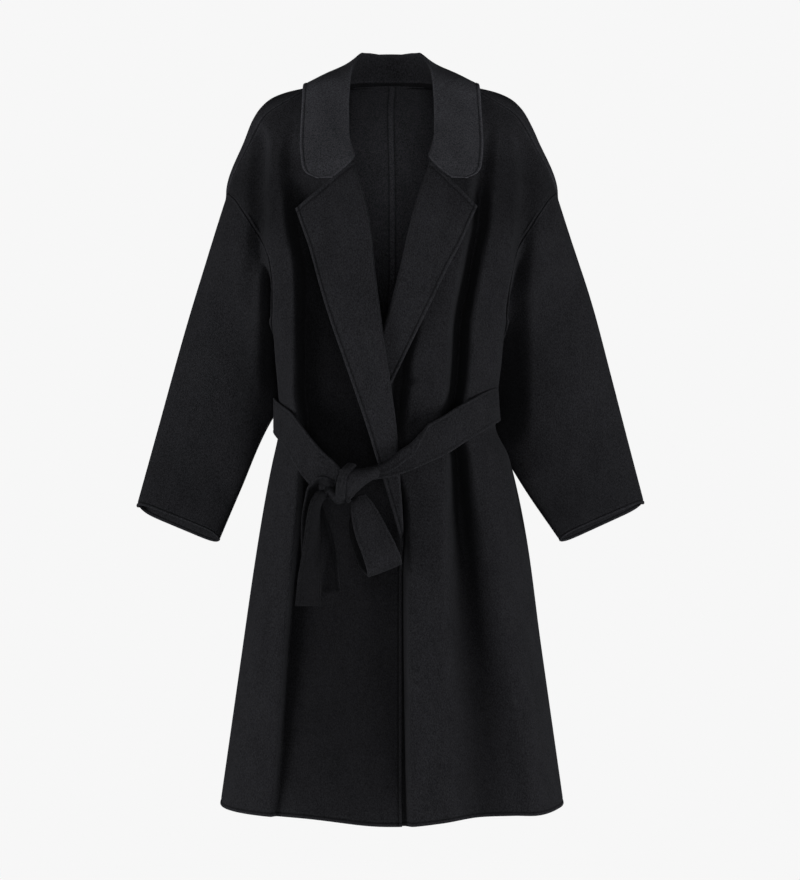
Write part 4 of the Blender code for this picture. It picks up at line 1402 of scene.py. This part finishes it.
# %% Knot
KNOT_ROLL = (
    Strip(-0.0560, -0.1640, -0.5980, 0.021, 0, 84, 40),
    Strip(-0.0690, -0.1740, -0.5980, 0.025, 0, 84, 48),
    Strip(-0.0690, -0.1870, -0.5965, 0.0265, 0, 86, 60),
    Strip(-0.0570, -0.1960, -0.5915, 0.0235, 0, 94, 80),
    Strip(-0.0440, -0.1975, -0.5860, 0.0185, 0, 103, 92),
    Strip(-0.0310, -0.1940, -0.5810, 0.0135, 0, 107, 95),
    Strip(-0.0210, -0.1855, -0.5775, 0.0100, 0, 109, 92),
    Strip(-0.0185, -0.1720, -0.5775, 0.0085, 0, 110, 80),
)
KNOT_TURN = (
    Strip(-0.0840, -0.1600, -0.6000, 0.012, 0, -20, 55),
    Strip(-0.0840, -0.1780, -0.6020, 0.013, 0, -20, 65),
    Strip(-0.0815, -0.1865, -0.6090, 0.014, 0, -20, 70),
    Strip(-0.0790, -0.1820, -0.6190, 0.013, 0, -18, 72),
    Strip(-0.0770, -0.1670, -0.6230, 0.011, 0, -16, 70),
)
KNOT_PINCH = (
    Strip(-0.0560, -0.1830, -0.5660, 0.007, 0, -10, 55),
    Strip(-0.0640, -0.1935, -0.5750, 0.0075, 0, -12, 60),
    Strip(-0.0705, -0.1965, -0.5930, 0.0075, 0, -8, 62),
    Strip(-0.0725, -0.1910, -0.6120, 0.0070, 0, -4, 62),
    Strip(-0.0700, -0.1760, -0.6210, 0.0065, 0, 0, 60),
)
knot = belt_strip("knot_of_the_belt", 1.0, KNOT_ROLL, KNOT_TURN, KNOT_PINCH)

# %% [markdown]
# ## Pieces and cuts
# Each piece of cloth hangs from one root, and the solid of the frame that it shows is hidden. The table
# also lists how large the flat cloth is that the piece was cut from: a maker's cutting list. The share is
# what is left of the rectangle after cutting. The cut of a sleeve goes all round the tube, and a front's
# takes in its lapel.

# %% Put the pieces in place of the frame's solids
Cut = namedtuple("Cut", "piece node width length share held rests_on")
CUTS = (
    Cut(front_right, "front_right", 0.60, 1.22, 0.66, "hung",
        ("back_half_right", "sleeve_tube_right")),
    Cut(front_left, "front_left", 0.60, 1.22, 0.66, "hung",
        ("back_half_left", "sleeve_tube_left")),
    Cut(back_right, "back_right", 0.46, 1.18, 0.72, "hung",
        ("front_with_lapel_right", "sleeve_tube_right")),
    Cut(back_left, "back_left", 0.46, 1.18, 0.72, "hung",
        ("front_with_lapel_left", "sleeve_tube_left")),
    Cut(sleeve_right, "sleeve_right", 0.56, 0.52, 0.80, "hung",
        ("front_with_lapel_right", "back_half_right")),
    Cut(sleeve_left, "sleeve_left", 0.56, 0.52, 0.80, "hung",
        ("front_with_lapel_left", "back_half_left")),
    Cut(collar, "collar", 0.62, 0.15, 0.70, "folded", ("back_half_right", "back_half_left")),
    Cut(belt_waist, "belt_around", 0.052, 1.00, 1.00, "gathered",
        ("front_with_lapel_right", "front_with_lapel_left")),
    Cut(knot, "belt_knot", 0.052, 0.21, 0.70, "folded", ("belt_waist",)),
    Cut(bow_loop, "belt_loop", 0.052, 0.22, 1.00, "folded", ("knot_of_the_belt",)),
    Cut(tail_front, "belt_tail_front", 0.052, 0.18, 1.00, "hung", ("knot_of_the_belt",)),
    Cut(tail_back, "belt_tail_back", 0.052, 0.19, 1.00, "hung", ("knot_of_the_belt",)),
)
bpy.context.view_layer.update()
dependencies = bpy.context.evaluated_depsgraph_get()
for cut in CUTS:
    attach(cut.piece, "root")
    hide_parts(cut.node)
    faces = cut.piece.evaluated_get(dependencies).data.polygons

# %% [markdown]
# ## Floor
# The coat is shown on plain pale ground without a horizon. The floor lies far below, so
# that it throws hardly any light up into the coat, and glows for the camera alone. A plane
# close under the hem would look much the same, but it would brighten the hem from below.

# %% Floor
FLOOR_HEIGHT = -2.90
FLOOR_RADIUS = 9.0
FLOOR_GLOW = 0.90


def floor_material():
    material = bpy.data.materials.new("pale_floor")
    material.use_nodes = True
    tree = material.node_tree
    shader = tree.nodes["Principled BSDF"]
    shader.inputs["Base Color"].default_value = (0.5, 0.5, 0.5, 1.0)
    shader.inputs["Roughness"].default_value = 1.0
    shader.inputs["Specular IOR Level"].default_value = 0.0
    shader.inputs["Emission Color"].default_value = (1.0, 1.0, 1.0, 1.0)
    glow = tree.nodes.new("ShaderNodeMath")
    glow.operation = "MULTIPLY"
    glow.inputs[1].default_value = FLOOR_GLOW
    seen = tree.nodes.new("ShaderNodeLightPath").outputs["Is Camera Ray"]
    tree.links.new(seen, glow.inputs[0])
    tree.links.new(glow.outputs["Value"], shader.inputs["Emission Strength"])
    return material


def studio_floor():
    mesh = bmesh.new()
    bmesh.ops.create_circle(mesh, cap_ends=True, segments=96, radius=FLOOR_RADIUS)
    bmesh.ops.translate(mesh, verts=mesh.verts, vec=(0.0, 0.0, FLOOR_HEIGHT))
    data = bpy.data.meshes.new("studio_floor")
    mesh.to_mesh(data)
    mesh.free()
    data.materials.append(floor_material())
    floor = bpy.data.objects.new("studio_floor", data)
    bpy.context.scene.collection.objects.link(floor)


studio_floor()
print("the floor lies", -FLOOR_HEIGHT, "m below the neck")

# %% [markdown]
# ## Surround
# The surround is pale to look at, like the floor, and gives the coat only a trace
# of light. Real white walls would fill the folds with light and flatten them.

# %% Surround
PALE = 0.93
AMBIENT = 0.04


def surround():
    world = bpy.data.worlds.new("surround")
    bpy.context.scene.world = world
    world.use_nodes = True
    tree = world.node_tree
    light = tree.nodes["Background"]
    light.inputs["Strength"].default_value = AMBIENT
    light.inputs["Color"].default_value = (1.0, 1.0, 1.0, 1.0)
    seen = tree.nodes.new("ShaderNodeBackground")
    seen.inputs["Color"].default_value = (1.0, 1.0, 1.0, 1.0)
    seen.inputs["Strength"].default_value = PALE
    mix = tree.nodes.new("ShaderNodeMixShader")
    tree.links.new(tree.nodes.new("ShaderNodeLightPath").outputs["Is Camera Ray"], mix.inputs["Fac"])
    tree.links.new(light.outputs["Background"], mix.inputs[1])
    tree.links.new(seen.outputs["Background"], mix.inputs[2])
    tree.links.new(mix.outputs["Shader"], tree.nodes["World Output"].inputs["Surface"])


surround()
print("the surround looks", PALE, "bright and lights with", AMBIENT)

# %% [markdown]
# ## Lamps
# Black cloth shows its folds only where light reaches some planes and misses others.
# A soft lamp stands behind the camera, a larger one at each side rakes across the
# folds, and nothing shines from above. One more behind the coat lights its back, and
# a narrow spot reaches into the neck, where the seam of the back shows.

# %% Lamps
COAT_MIDDLE = (0.0, 0.0, -0.5)
Lamp = namedtuple("Lamp", "name place size power")
LAMPS = (
    Lamp("front", (0.2, -4.4, -0.9), 1.8, 48.0),
    Lamp("left", (-3.65, -1.63, -1.45), 2.6, 128.0),
    Lamp("right", (3.65, -1.63, -1.50), 2.6, 128.0),
    Lamp("behind", (0.0, 4.4, -0.9), 1.8, 60.0),
)


def hang_lamp(name, data, place, target):
    lamp = bpy.data.objects.new(name, data)
    bpy.context.scene.collection.objects.link(lamp)
    lamp.location = place
    lamp.rotation_euler = (Vector(target) - Vector(place)).to_track_quat("-Z", "Y").to_euler()
    print(name, "lamp with", data.energy, "watts")
    return lamp


def soft_lamp(lamp):
    data = bpy.data.lights.new(lamp.name, "AREA")
    data.shape = "DISK"
    data.size = lamp.size
    data.energy = lamp.power
    hang_lamp(lamp.name, data, lamp.place, COAT_MIDDLE).visible_camera = False


def neck_spot(place, target, angle, power):
    data = bpy.data.lights.new("neck", "SPOT")
    data.spot_size = math.radians(angle)
    data.spot_blend = 1.0
    data.shadow_soft_size = 0.12
    data.energy = power
    hang_lamp("neck", data, place, target)


for lamp in LAMPS:
    soft_lamp(lamp)
neck_spot(place=(0.0, -3.0, 0.10), target=(0.0, 0.05, -0.10), angle=5.5, power=112.0)

# %% [markdown]
# ## Camera
# The coat is seen straight on from about half its height, through a long
# lens from over three metres, so neither the collar nor the hem is tipped
# towards the camera. Standard view colours keep the blacks as they are.

# %% Camera
CAMERA_PLACE = (0.012, -3.3, -0.5325)
camera_data = bpy.data.cameras.new("camera")
camera_data.lens = 90.0
camera_data.sensor_fit = "AUTO"
camera_data.sensor_width = 36.0
camera = bpy.data.objects.new("camera", camera_data)
bpy.context.scene.collection.objects.link(camera)
camera.location = CAMERA_PLACE
camera.rotation_euler = (math.radians(90.0), 0.0, 0.0)
bpy.context.scene.camera = camera
bpy.context.scene.view_settings.view_transform = "Standard"
print("the camera stands", -CAMERA_PLACE[1], "m in front of the coat")
